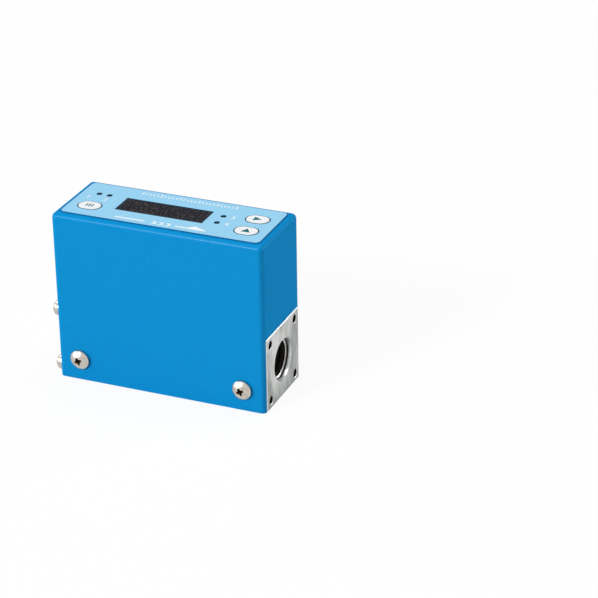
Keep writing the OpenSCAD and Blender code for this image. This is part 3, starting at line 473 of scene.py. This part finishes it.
def wound_wire():
    # Enamelled resistance wire: close copper-brown turns with a varnish gloss.
    # The turns are drawn at 0.22 mm, coarser than the real wire, so that they show.
    material, tree, surface = new_material("enamelled_winding_wire", Roughness=0.3, Coat_Weight=0.4)
    place = add(tree, "TexCoord")
    turns = add(tree, "TexWave", {"Vector": place.outputs["Object"], "Scale": WAVE_LENGTH / (0.22 * MM)},
                wave_type="BANDS", bands_direction="X")
    ramp = add(tree, "ValToRGB", {"Fac": turns.outputs["Fac"]})
    ramp.color_ramp.elements[0].color = colour("#6f3a18")
    ramp.color_ramp.elements[1].color = colour("#c07a3e")
    tree.links.new(ramp.outputs["Color"], surface.inputs["Base Color"])
    relief(tree, surface, turns.outputs["Fac"], 0.06 * MM)
    return material


def drawn_can():
    # Deep-drawn steel can: pale grey with draw lines up its sides.
    return streaked("deep_drawn_steel", "#adb0b2", "#c4c6c8", (0.25, 0.38), 0.3 * MM, (1, 1, 10), 0.004 * MM)


def fused_glass():
    # Fused glass bead: grey-green, smooth and slightly seeded.
    return grained("fused_glass_bead", "#5f8378", "#76998d", (0.08, 0.16), 0.3 * MM, 0.002 * MM,
                   Coat_Weight=0.6)


FINISHES = {
    "cover_paint": baked_enamel, "panel_film": printed_film, "tinted_window": tinted_acrylic,
    "key_cap": moulded_key, "switch_plastic": moulded_black, "lens_plastic": lens_acrylic,
    "led_chip": lamp_chip, "module_plastic": module_plastic, "circuit_board": solder_mask,
    "screw_steel": plated_screw, "spring_steel": spring_steel, "bracket_brass": folded_brass,
    "chip_package": chip_epoxy, "capacitor_can": drawn_aluminium, "connector_plastic": filled_nylon,
    "contact_metal": gold_flash, "block_steel": milled_stainless, "seal_rubber": moulded_rubber,
    "screen_steel": perforated_screen, "element_steel": turned_stainless, "tube_steel": drawn_capillary,
    "winding_wire": wound_wire, "can_steel": drawn_can, "bead_glass": fused_glass,
}


def dress(piece, materials):
    """Gives a piece its materials, in the order of its faces' material indices."""
    slots = piece.data.materials
    if slots:
        slots.clear()
    for material in materials:
        slots.append(material)


def dress_frame():
    """Every node of the frame takes the finish of its slot."""
    made = {slot: build() for slot, build in FINISHES.items()}
    for part in frame["record"]["subparts"]:
        dress(frame["nodes"][part["node"]], [made[part["material_slot"]]])
    return made


def piece_from(bm, name, materials, body="housing", smooth=0):
    """A shown piece from a bmesh, riding on its body. Its edges below the angle smooth look round."""
    bmesh.ops.recalc_face_normals(bm, faces=bm.faces)
    for face in bm.faces:
        face.smooth = smooth > 0
    mesh = bpy.data.meshes.new(name)
    bm.to_mesh(mesh)
    bm.free()
    if smooth:
        mesh.set_sharp_from_angle(angle=math.radians(smooth))
    piece = bpy.data.objects.new(name, mesh)
    bpy.context.scene.collection.objects.link(piece)
    dress(piece, materials)
    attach(piece, body)
    return piece


def copy_of(name):
    """A node's mesh as a bmesh, with its corners joined and without its own shading normals."""
    mesh = frame["nodes"][name].data.copy()
    if "custom_normal" in mesh.attributes:
        mesh.attributes.remove(mesh.attributes["custom_normal"])
    bm = bmesh.new()
    bm.from_mesh(mesh)
    bpy.data.meshes.remove(mesh)
    bmesh.ops.remove_doubles(bm, verts=bm.verts, dist=WELD_REACH)
    return bm


def as_object(bm, name):
    """A bmesh as an object for a cut, on its own."""
    bmesh.ops.recalc_face_normals(bm, faces=bm.faces)
    mesh = bpy.data.meshes.new(name)
    for _ in range(FINISH_SLOTS):
        mesh.materials.append(None)
    bm.to_mesh(mesh)
    bm.free()
    made_object = bpy.data.objects.new(name, mesh)
    bpy.context.scene.collection.objects.link(made_object)
    return made_object


def cut_away(bm, cutter):
    """The first solid less the second, whose cut faces keep their own material indices."""
    whole = as_object(bm, "whole")
    tool = as_object(cutter, "tool")
    step = whole.modifiers.new("cut", "BOOLEAN")
    step.operation = "DIFFERENCE"
    step.solver = "EXACT"
    step.use_self = False
    step.object = tool
    left = bmesh.new()
    left.from_object(whole, bpy.context.evaluated_depsgraph_get())
    for used in (whole, tool):
        mesh = used.data
        bpy.data.objects.remove(used)
        bpy.data.meshes.remove(mesh)
    return left


def add_prism(bm, outline, low, high):
    """A closed prism over a flat outline, given anticlockwise."""
    base = [bm.verts.new((x, y, low)) for x, y in outline]
    top = [bm.verts.new((x, y, high)) for x, y in outline]
    bm.faces.new(base[::-1])
    bm.faces.new(top)
    for i in range(len(outline)):
        j = (i + 1) % len(outline)
        bm.faces.new((base[i], base[j], top[j], top[i]))


def add_band(bm, outer, inner, low, high):
    """A closed band between two outlines with as many points each."""
    rings = [[bm.verts.new((x, y, z)) for x, y in outline]
             for outline, z in ((outer, low), (outer, high), (inner, high), (inner, low))]
    count = len(outer)
    for a in range(4):
        b = (a + 1) % 4
        for i in range(count):
            j = (i + 1) % count
            bm.faces.new((rings[a][i], rings[a][j], rings[b][j], rings[b][i]))


def rounded(centre, width, depth, r, steps=12):
    """An outline with four round corners, given anticlockwise."""
    points = []
    for turn, (side, row) in enumerate(((1, -1), (1, 1), (-1, 1), (-1, -1))):
        for i in range(steps + 1):
            a = math.radians(90 * (turn - 1) + 90 * i / steps)
            points.append((centre[0] + side * (width / 2 - r) + r * math.cos(a),
                           centre[1] + row * (depth / 2 - r) + r * math.sin(a)))
    return points


def rectangle(centre, width, depth):
    """An outline with four corners."""
    x, y = centre
    w, d = width / 2, depth / 2
    return [(x - w, y - d), (x + w, y - d), (x + w, y + d), (x - w, y + d)]


def key_face(name):
    """The centre, width and depth of a key's face, inside the flange that holds it."""
    low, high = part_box(name)
    centre = ((low.x + high.x) / 2, (low.y + high.y) / 2)
    return centre, high.x - low.x - 2 * KEY_FLANGE, high.y - low.y - 2 * KEY_FLANGE


def key_legend(name, centre):
    """Outlines of a key's mark: three upright bars, or a triangle to the right or upwards."""
    x, y = centre
    if name == "mode_key":
        return [rectangle((x + column * BAR_PITCH, y), BAR_W, BAR_L) for column in (-1, 0, 1)]
    if name == "right_key":
        return [[(x + a, y + b) for a, b in RIGHT_MARK]]
    return [[(x + a, y + b) for a, b in UP_MARK]]


def make_key(name, cap_material, ink):
    """A key cap with softened edges and its printed mark, in the place of the frame's key."""
    bm = copy_of(name)
    face = KEY_FACE - KEY_LEGEND_ROOM
    for vert in bm.verts:
        if vert.co.z > face:
            vert.co.z = face
    rim = [edge for edge in bm.edges
           if all(abs(v.co.z - face) < LEVEL_REACH for v in edge.verts)
           and any(abs(f.normal.z) < UPRIGHT for f in edge.link_faces)]
    bmesh.ops.bevel(bm, geom=rim, offset=KEY_EDGE_R, segments=3, profile=0.5, affect="EDGES")
    body = name + "_body"
    cap = piece_from(bm, name + "_cap", [cap_material], body)
    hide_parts(name)
    mark = bmesh.new()
    for outline in key_legend(name, key_face(name)[0]):
        add_prism(mark, outline, face - PRINT_T / 2, face + PRINT_T)
    piece_from(mark, name + "_mark", [ink], body)


def print_key_outlines(ink):
    """A thin dark line round each key's opening."""
    bm = bmesh.new()
    for name in KEYS:
        centre, width, depth = key_face(name)
        r = depth / 2
        inner = rounded(centre, width + 2 * KEY_GAP, depth + 2 * KEY_GAP, r + KEY_GAP)
        grow = KEY_GAP + KEY_OUTLINE
        outer = rounded(centre, width + 2 * grow, depth + 2 * grow, r + grow)
        add_band(bm, outer, inner, PANEL_FACE, PANEL_FACE + PRINT_T)
    piece_from(bm, "key_outlines", [ink])


def print_panel_rim(ink):
    """The dark line of painted shade along the panel's cut edge, inside the panel's outline."""
    low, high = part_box("panel_overlay")
    centre = ((low.x + high.x) / 2, (low.y + high.y) / 2)
    width, depth = high.x - low.x, high.y - low.y
    inner = rounded(centre, width - 2 * PANEL_SHADE_BAND, depth - 2 * PANEL_SHADE_BAND, PANEL_CORNER_R - PANEL_SHADE_BAND)
    bm = bmesh.new()
    add_band(bm, rounded(centre, width, depth, PANEL_CORNER_R), inner, PANEL_FACE, PANEL_FACE + PRINT_T)
    piece_from(bm, "panel_rim_painted_shade", [ink])


def print_window_border(ink):
    """The dark frame round the window's face."""
    low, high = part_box("display_window")
    centre = ((low.x + high.x) / 2, (low.y + high.y) / 2)
    width = high.x - low.x - 2 * WINDOW_RIM
    depth = high.y - low.y - 2 * WINDOW_RIM
    inner = rectangle(centre, width - 2 * WINDOW_BORDER, depth - 2 * WINDOW_BORDER)
    bm = bmesh.new()
    add_band(bm, rectangle(centre, width, depth), inner, high.z, high.z + PRINT_T)
    piece_from(bm, "window_border", [ink])


def print_flow_arrow(ink):
    """A line with chevrons in its middle and a half head at its downstream end."""
    bm = bmesh.new()
    for start, end in ARROW_PARTS:
        middle = ((start + end) / 2, ARROW_ROW)
        add_prism(bm, rectangle(middle, end - start, ARROW_LINE), PANEL_FACE, PANEL_FACE + PRINT_T)
    for i in range(CHEVRONS):
        x = CHEVRON_START + CHEVRON_PITCH * i
        front, rear = ARROW_ROW - CHEVRON_HALF, ARROW_ROW + CHEVRON_HALF
        add_prism(bm, [
            (x, front), (x + CHEVRON_HALF, front), (x + CHEVRON_HALF + CHEVRON_POINT, ARROW_ROW),
            (x + CHEVRON_HALF, rear), (x, rear), (x + CHEVRON_POINT, ARROW_ROW),
        ], PANEL_FACE, PANEL_FACE + PRINT_T)
    low = ARROW_ROW - ARROW_LINE / 2
    add_prism(bm, [
        (ARROW_HEAD_START, low), (ARROW_HEAD_END, low), (ARROW_HEAD_END, low + ARROW_TIP_H),
        (ARROW_BARB, low + ARROW_BARB_H), (ARROW_HEAD_START, low + ARROW_LINE),
    ], PANEL_FACE, PANEL_FACE + PRINT_T)
    piece_from(bm, "flow_arrow", [ink])


def print_scale(ink):
    """A plain graduation along the panel's rear edge, with every fifth mark longer."""
    bm = bmesh.new()
    for i in range(SCALE_MARKS):
        depth = SCALE_LONG if i % SCALE_LONG_EVERY == 0 else SCALE_SHORT
        x = (i - (SCALE_MARKS - 1) / 2) * SCALE_PITCH + SCALE_MIDDLE
        add_prism(bm, rectangle((x, SCALE_ROW + depth / 2), SCALE_MARK_W, depth), PANEL_FACE,
                  PANEL_FACE + PRINT_T)
    piece_from(bm, "printed_scale", [ink])


def print_indicator_numbers(ink):
    """A plain number beside each indicator."""
    bm = bmesh.new()
    for text, place in NUMBER_PLACES.items():
        curve = bpy.data.curves.new("number", "FONT")
        curve.body = text
        curve.size = NUMBER_SIZE
        curve.align_x = "CENTER"
        curve.align_y = "CENTER"
        curve.extrude = PRINT_T / 2
        holder = bpy.data.objects.new("number", curve)
        bpy.context.scene.collection.objects.link(holder)
        shape = bpy.data.meshes.new_from_object(holder.evaluated_get(bpy.context.evaluated_depsgraph_get()))
        shape.transform(Matrix.Translation((*place, PANEL_FACE + PRINT_T / 2)))
        bm.from_mesh(shape)
        bpy.data.objects.remove(holder)
        bpy.data.curves.remove(curve)
        bpy.data.meshes.remove(shape)
    bmesh.ops.remove_doubles(bm, verts=bm.verts, dist=NUMBER_WELD_REACH)
    piece_from(bm, "indicator_numbers", [ink])


def make_panel(film, edge):
    """The panel, with its upright cut edges in dark blue: painted shade."""
    bm = copy_of("panel_overlay")
    for face in bm.faces:
        face.material_index = int(abs(face.normal.z) < UPRIGHT)
    panel = piece_from(bm, "printed_panel", [film, edge])
    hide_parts("panel_overlay")


def add_groove(bm, centre, along, radius, height, pitch, start, end, steps):
    """A helical wedge that cuts a thread's groove in a bore along the X axis."""
    count = int((end - start) / pitch * steps)
    inner = radius - GROOVE_OVERLAP
    previous = None
    for i in range(count + 1):
        angle = 2 * math.pi * i / steps
        depth = start + pitch * i / steps
        fade = min(1.0, GROOVE_RUNOUT + i / steps, GROOVE_RUNOUT + (count - i) / steps)
        ring = []
        for r, offset in ((inner, -GROOVE_MOUTH), (radius + height * fade, -GROOVE_ROOT),
                          (radius + height * fade, GROOVE_ROOT), (inner, GROOVE_MOUTH)):
            x = centre[0] + along * (depth + offset * pitch)
            ring.append(bm.verts.new((x, centre[1] + r * math.cos(angle), centre[2] + r * math.sin(angle))))
        if previous:
            for a in range(4):
                b = (a + 1) % 4
                bm.faces.new((previous[a], previous[b], ring[b], ring[a])).material_index = 1
        else:
            bm.faces.new(ring).material_index = 1
        previous = ring
    bm.faces.new(previous[::-1]).material_index = 1


def open_mouth(centre, along, radius, start, end, steps):
    """A short round cutter at the start of a thread, where its crests are worn away."""
    bm = bmesh.new()
    rings = []
    for depth in (start, end):
        rings.append([bm.verts.new((centre[0] + along * depth,
                                    centre[1] + radius * math.cos(2 * math.pi * i / steps),
                                    centre[2] + radius * math.sin(2 * math.pi * i / steps)))
                      for i in range(steps)])
    bm.faces.new(rings[0])
    bm.faces.new(rings[1][::-1])
    for i in range(steps):
        j = (i + 1) % steps
        bm.faces.new((rings[0][j], rings[0][i], rings[1][i], rings[1][j]))
    for face in bm.faces:
        face.material_index = 1
    return bm


def sort_block_faces(bm, end, along):
    """Faces in the holes take the bored finish, whose dark colour is painted shade, the chamfers and the
    port's two flares the polished one.
    """
    low = [min(vert.co[i] for vert in bm.verts) for i in range(3)]
    high = [max(vert.co[i] for vert in bm.verts) for i in range(3)]
    for face in bm.faces:
        middle = face.calc_center_median()
        inside = min(min(middle[i] - low[i], high[i] - middle[i]) for i in range(3))
        if inside < FACE_REACH:
            continue
        reach = math.hypot(middle.y, middle.z - PORT_Z)
        depth = (end - middle.x) * along
        # The port's wall between its recess and its lead cone takes the dark bored finish too: painted shade
        in_flare = depth < PORT_RECESS_DEPTH or PORT_WALL_DEPTH < depth < PORT_LEAD_DEPTH
        polished = reach < PORT_MOUTH_R and in_flare or inside < CHAMFER_REACH
        face.material_index = 2 if polished else 1


def make_ported_block(node, name, materials, end, along, small_holes):
    """A block of the frame with its threads cut: the port's, and those of the small holes round it."""
    bm = copy_of(node)
    sort_block_faces(bm, end, along)
    port = (end, 0, PORT_Z)
    bm = cut_away(bm, open_mouth(port, -along, PORT_CREST_R, PORT_CREST_START, PORT_CREST_END,
                                 PORT_CREST_STEPS))
    groove = bmesh.new()
    add_groove(groove, port, -along, PORT_BORE_R, PORT_THREAD_H, PORT_PITCH, PORT_THREAD_START,
               PORT_THREAD_END, PORT_STEPS)
    bm = cut_away(bm, groove)
    for y in small_holes:
        for z in small_holes:
            hole = (end, y, PORT_Z + z)
            bm = cut_away(bm, open_mouth(hole, -along, M3_CREST_R, M3_CREST_START, M3_CREST_END,
                                         M3_CREST_STEPS))
            groove = bmesh.new()
            add_groove(groove, hole, -along, HOLE_R, M3_THREAD_H, M3_PITCH, M3_THREAD_START,
                       M3_THREAD_END, M3_STEPS)
            bm = cut_away(bm, groove)
    piece = piece_from(bm, name, materials, smooth=35)
    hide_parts(node)


def screw_outline(head_r, head_h, shank_r, shank_l):
    """Radii and heights of a pan head screw from its tip to the top of its dome. Its seat is at height 0."""
    side_h = head_h * SIDE_SHARE
    dome_h = head_h - side_h
    dome_r = (head_r ** 2 + dome_h ** 2) / (2 * dome_h)
    reach = math.asin(head_r / dome_r)
    outline = [
        (shank_r - SCREW_TIP, -shank_l - SCREW_TIP), (shank_r, -shank_l), (shank_r, 0),
        (head_r - HEAD_UNDERCUT, 0), (head_r - BEND_SHARE * HEAD_UNDERCUT, BEND_SHARE * HEAD_UNDERCUT),
        (head_r, HEAD_UNDERCUT), (head_r, side_h),
    ]
    for i in range(DOME_STEPS - 1, 0, -1):
        a = reach * i / DOME_STEPS
        outline.append((dome_r * math.sin(a), head_h - dome_r + dome_r * math.cos(a)))
    return outline, head_h


def turned_solid(outline, top):
    """The outline turned about the Z axis, closed at the tip and at the top."""
    bm = bmesh.new()
    rings = []
    for r, z in outline:
        rings.append([bm.verts.new((r * math.cos(2 * math.pi * i / HEAD_STEPS),
                                    r * math.sin(2 * math.pi * i / HEAD_STEPS), z))
                      for i in range(HEAD_STEPS)])
    crown = bm.verts.new((0, 0, top))
    bm.faces.new(rings[0][::-1])
    for lower, upper in zip(rings, rings[1:]):
        for i in range(HEAD_STEPS):
            j = (i + 1) % HEAD_STEPS
            bm.faces.new((lower[i], lower[j], upper[j], upper[i]))
    for i in range(HEAD_STEPS):
        bm.faces.new((rings[-1][i], rings[-1][(i + 1) % HEAD_STEPS], crown))
    return bm


def cross_punch(head_r, head_h):
    """A tapered cross with filled corners, which cuts the recess that the driver fits."""
    reach = head_r * CROSS_REACH
    wing = head_r * CROSS_WING
    web = head_r * CROSS_WEB
    outline = []
    for turn in range(4):
        c, d = math.cos(turn * math.pi / 2), math.sin(turn * math.pi / 2)
        for x, y in ((reach, -wing), (reach, wing), (web, web)):
            outline.append((x * c - y * d, x * d + y * c))
    bm = bmesh.new()
    low, high = head_h * PUNCH_LOW, head_h * PUNCH_HIGH
    base = [bm.verts.new((x * CROSS_TIP, y * CROSS_TIP, low)) for x, y in outline]
    top = [bm.verts.new((x * CROSS_MOUTH, y * CROSS_MOUTH, high)) for x, y in outline]
    bm.faces.new(base[::-1])
    bm.faces.new(top)
    for i in range(len(outline)):
        j = (i + 1) % len(outline)
        bm.faces.new((base[i], base[j], top[j], top[i]))
    for face in bm.faces:
        face.material_index = 1
    return bm


def make_screws(node, name, materials, head_r, head_h, shank_r, shank_l, seats, turn):
    """Pan head screws with a cross recess. Each seat is a place and the direction that its head faces."""
    screw = as_object(cut_away(turned_solid(*screw_outline(head_r, head_h, shank_r, shank_l)),
                               cross_punch(head_r, head_h)), "one_screw")
    bm = bmesh.new()
    for place, facing in seats:
        shape = screw.data.copy()
        shape.transform(Matrix.Translation(place) @ facing.to_track_quat("Z", "Y").to_matrix().to_4x4()
                        @ Matrix.Rotation(math.radians(turn), 4, "Z"))
        bm.from_mesh(shape)
        bpy.data.meshes.remove(shape)
    shape = screw.data
    bpy.data.objects.remove(screw)
    bpy.data.meshes.remove(shape)
    piece = piece_from(bm, name, materials, smooth=35)
    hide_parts(node)


def make_cover_screws(materials):
    """The four screws that hold the cover, two in its front wall and two in its rear wall."""
    low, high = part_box("cover_screws")
    head_r = (high.z - low.z) / 2
    across = high.x - head_r
    seats = []
    for wall, facing in ((COVER_LOW.y, Vector((0, -1, 0))), (COVER_HIGH.y, Vector((0, 1, 0)))):
        for x in (-across, across):
            seats.append((Vector((x, wall, (low.z + high.z) / 2)), facing))
    make_screws("cover_screws", "cover_pan_screws", materials, head_r, COVER_LOW.y - low.y,
                COVER_SHANK_R, COVER_SHANK_L, seats, COVER_SCREW_TURN)


def make_inlet_screws(materials):
    """The four long screws that hold the inlet's flange, on their spring washers."""
    low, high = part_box("inlet_screws")
    seat_x = FLANGE_END - WASHER_T
    head_r = high.y - HOLE_REACH
    seats = [(Vector((seat_x, y, PORT_Z + z)), Vector((-1, 0, 0)))
             for y in (-HOLE_REACH, HOLE_REACH) for z in (-HOLE_REACH, HOLE_REACH)]
    make_screws("inlet_screws", "inlet_pan_screws", materials, head_r, seat_x - low.x,
                INLET_SHANK_R, high.x - seat_x - SCREW_TIP, seats, INLET_SCREW_TURN)


def make_camera():
    """A long lens that looks at the meter as the picture does, with the meter at the left."""
    azimuth, elevation, roll = (math.radians(a) for a in (22.816, 26.317, -0.78))
    distance = 800.8 * MM
    aside, above = -41.85 * MM, 1.46 * MM
    aim = Vector((0, 0, 31.17 * MM))
    back = Vector((math.sin(azimuth) * math.cos(elevation), -math.cos(azimuth) * math.cos(elevation),
                   math.sin(elevation)))
    level = Vector((math.cos(azimuth), math.sin(azimuth), 0))
    upward = back.cross(level)
    right = level * math.cos(roll) + upward * math.sin(roll)
    up = upward * math.cos(roll) - level * math.sin(roll)
    data = bpy.data.cameras.new("camera")
    data.sensor_width = 36
    data.lens = 140.5
    camera = bpy.data.objects.new("camera", data)
    place = aim + back * distance - right * aside - up * above
    camera.matrix_world = Matrix.Translation(place) @ Matrix((right, up, back)).transposed().to_4x4()
    bpy.context.scene.collection.objects.link(camera)
    bpy.context.scene.camera = camera


def make_world():
    """Even light from all round, and a white background where the eye or a reflection sees it."""
    world = bpy.data.worlds.new("studio")
    world.use_nodes = True
    tree = world.node_tree
    path = add(tree, "LightPath")
    seen = add(tree, "Math", {0: path.outputs["Is Camera Ray"], 1: path.outputs["Is Glossy Ray"]},
               operation="MAXIMUM")
    seen = add(tree, "Math", {0: seen.outputs["Value"], 1: path.outputs["Is Transmission Ray"]},
               operation="MAXIMUM")
    strength = add(tree, "MapRange", {"Value": seen.outputs["Value"], "To Min": WORLD_LIGHT,
                                      "To Max": 1.0})
    tree.links.new(strength.outputs["Result"], tree.nodes["Background"].inputs["Strength"])
    tree.nodes["Background"].inputs["Color"].default_value = colour("#ffffff")
    bpy.context.scene.world = world


def make_lamp(name, towards, size, energy):
    """A soft square lamp three metres away, in the given direction."""
    data = bpy.data.lights.new(name, "AREA")
    data.shape = "SQUARE"
    data.size = size
    data.energy = energy
    lamp = bpy.data.objects.new(name, data)
    direction = Vector(towards).normalized()
    lamp.location = direction * LAMP_DISTANCE
    lamp.rotation_mode = "QUATERNION"
    lamp.rotation_quaternion = direction.to_track_quat("Z", "Y")
    bpy.context.scene.collection.objects.link(lamp)


def make_floor():
    """A plain pale floor that keeps the meter's shadow and otherwise shows white."""
    bm = bmesh.new()
    half = FLOOR_HALF
    bm.faces.new([bm.verts.new(p) for p in ((-half, -half, 0), (half, -half, 0), (half, half, 0),
                                            (-half, half, 0))])
    mesh = bpy.data.meshes.new("floor")
    bm.to_mesh(mesh)
    bm.free()
    floor = bpy.data.objects.new("floor", mesh)
    bpy.context.scene.collection.objects.link(floor)
    material, tree, surface = new_material("pale_matt_floor", Specular_IOR_Level=0.0, Roughness=1.0)
    tone = add(tree, "ValToRGB", {"Fac": texture_noise(tree, 90 * MM)})
    tone.color_ramp.elements[0].color = colour("#d8d8d8")
    tone.color_ramp.elements[1].color = colour("#dcdcdc")
    tree.links.new(tone.outputs["Color"], surface.inputs["Base Color"])
    path = add(tree, "LightPath")
    seen = add(tree, "Math", {0: path.outputs["Is Camera Ray"], 1: path.outputs["Is Glossy Ray"]},
               operation="MAXIMUM")
    share = add(tree, "Math", {0: seen.outputs["Value"], 1: FLOOR_SHARE}, operation="MULTIPLY")
    glow = add(tree, "Emission", {"Color": colour("#ffffff"), "Strength": FLOOR_GLOW})
    both = add(tree, "MixShader", {"Fac": share.outputs["Value"]})
    tree.links.new(surface.outputs["BSDF"], both.inputs[1])
    tree.links.new(glow.outputs["Emission"], both.inputs[2])
    tree.links.new(both.outputs["Shader"], tree.nodes["Material Output"].inputs["Surface"])
    dress(floor, [material])


made = dress_frame()
pale_ink = white_ink()
dark_ink = teal_ink()
# The film's dark cut edge and the dark band along it are painted shade
shaded_film_edge = painted_shade_film_edge()
make_panel(made["panel_film"], shaded_film_edge)
print_panel_rim(shaded_film_edge)
for key in KEYS:
    make_key(key, made["key_cap"], dark_ink)
print_key_outlines(outline_ink())
print_window_border(window_ink())
print_scale(pale_ink)
print_flow_arrow(pale_ink)
print_indicator_numbers(pale_ink)
# The bored finish's dark colour is painted shade of the holes and threads
block_finishes = [made["block_steel"], painted_shade_bore(), flared_steel()]
make_ported_block("flow_body", "threaded_flow_body", block_finishes, BLOCK_END, 1, (-HOLE_REACH, HOLE_REACH))
make_ported_block("inlet_flange", "threaded_inlet_flange", block_finishes, FLANGE_END, -1, ())
# The recess finish's dark colour is painted shade
screw_finishes = [made["screw_steel"], painted_shade_recess()]
make_cover_screws(screw_finishes)
make_inlet_screws(screw_finishes)
make_camera()
make_world()
make_lamp("key_lamp", (-0.35, -0.78, 0.52), 0.56, 46)
make_lamp("fill_lamp", (-0.8, -0.58, 0.16), 2.1, 42)
make_lamp("side_lamp", (0.75, 0.64, 0.3), 1.2, 36)
make_lamp("top_lamp", (0.0, 0.1, 1.0), 1.8, 33)
make_floor()
bpy.context.scene.view_settings.view_transform = "Standard"
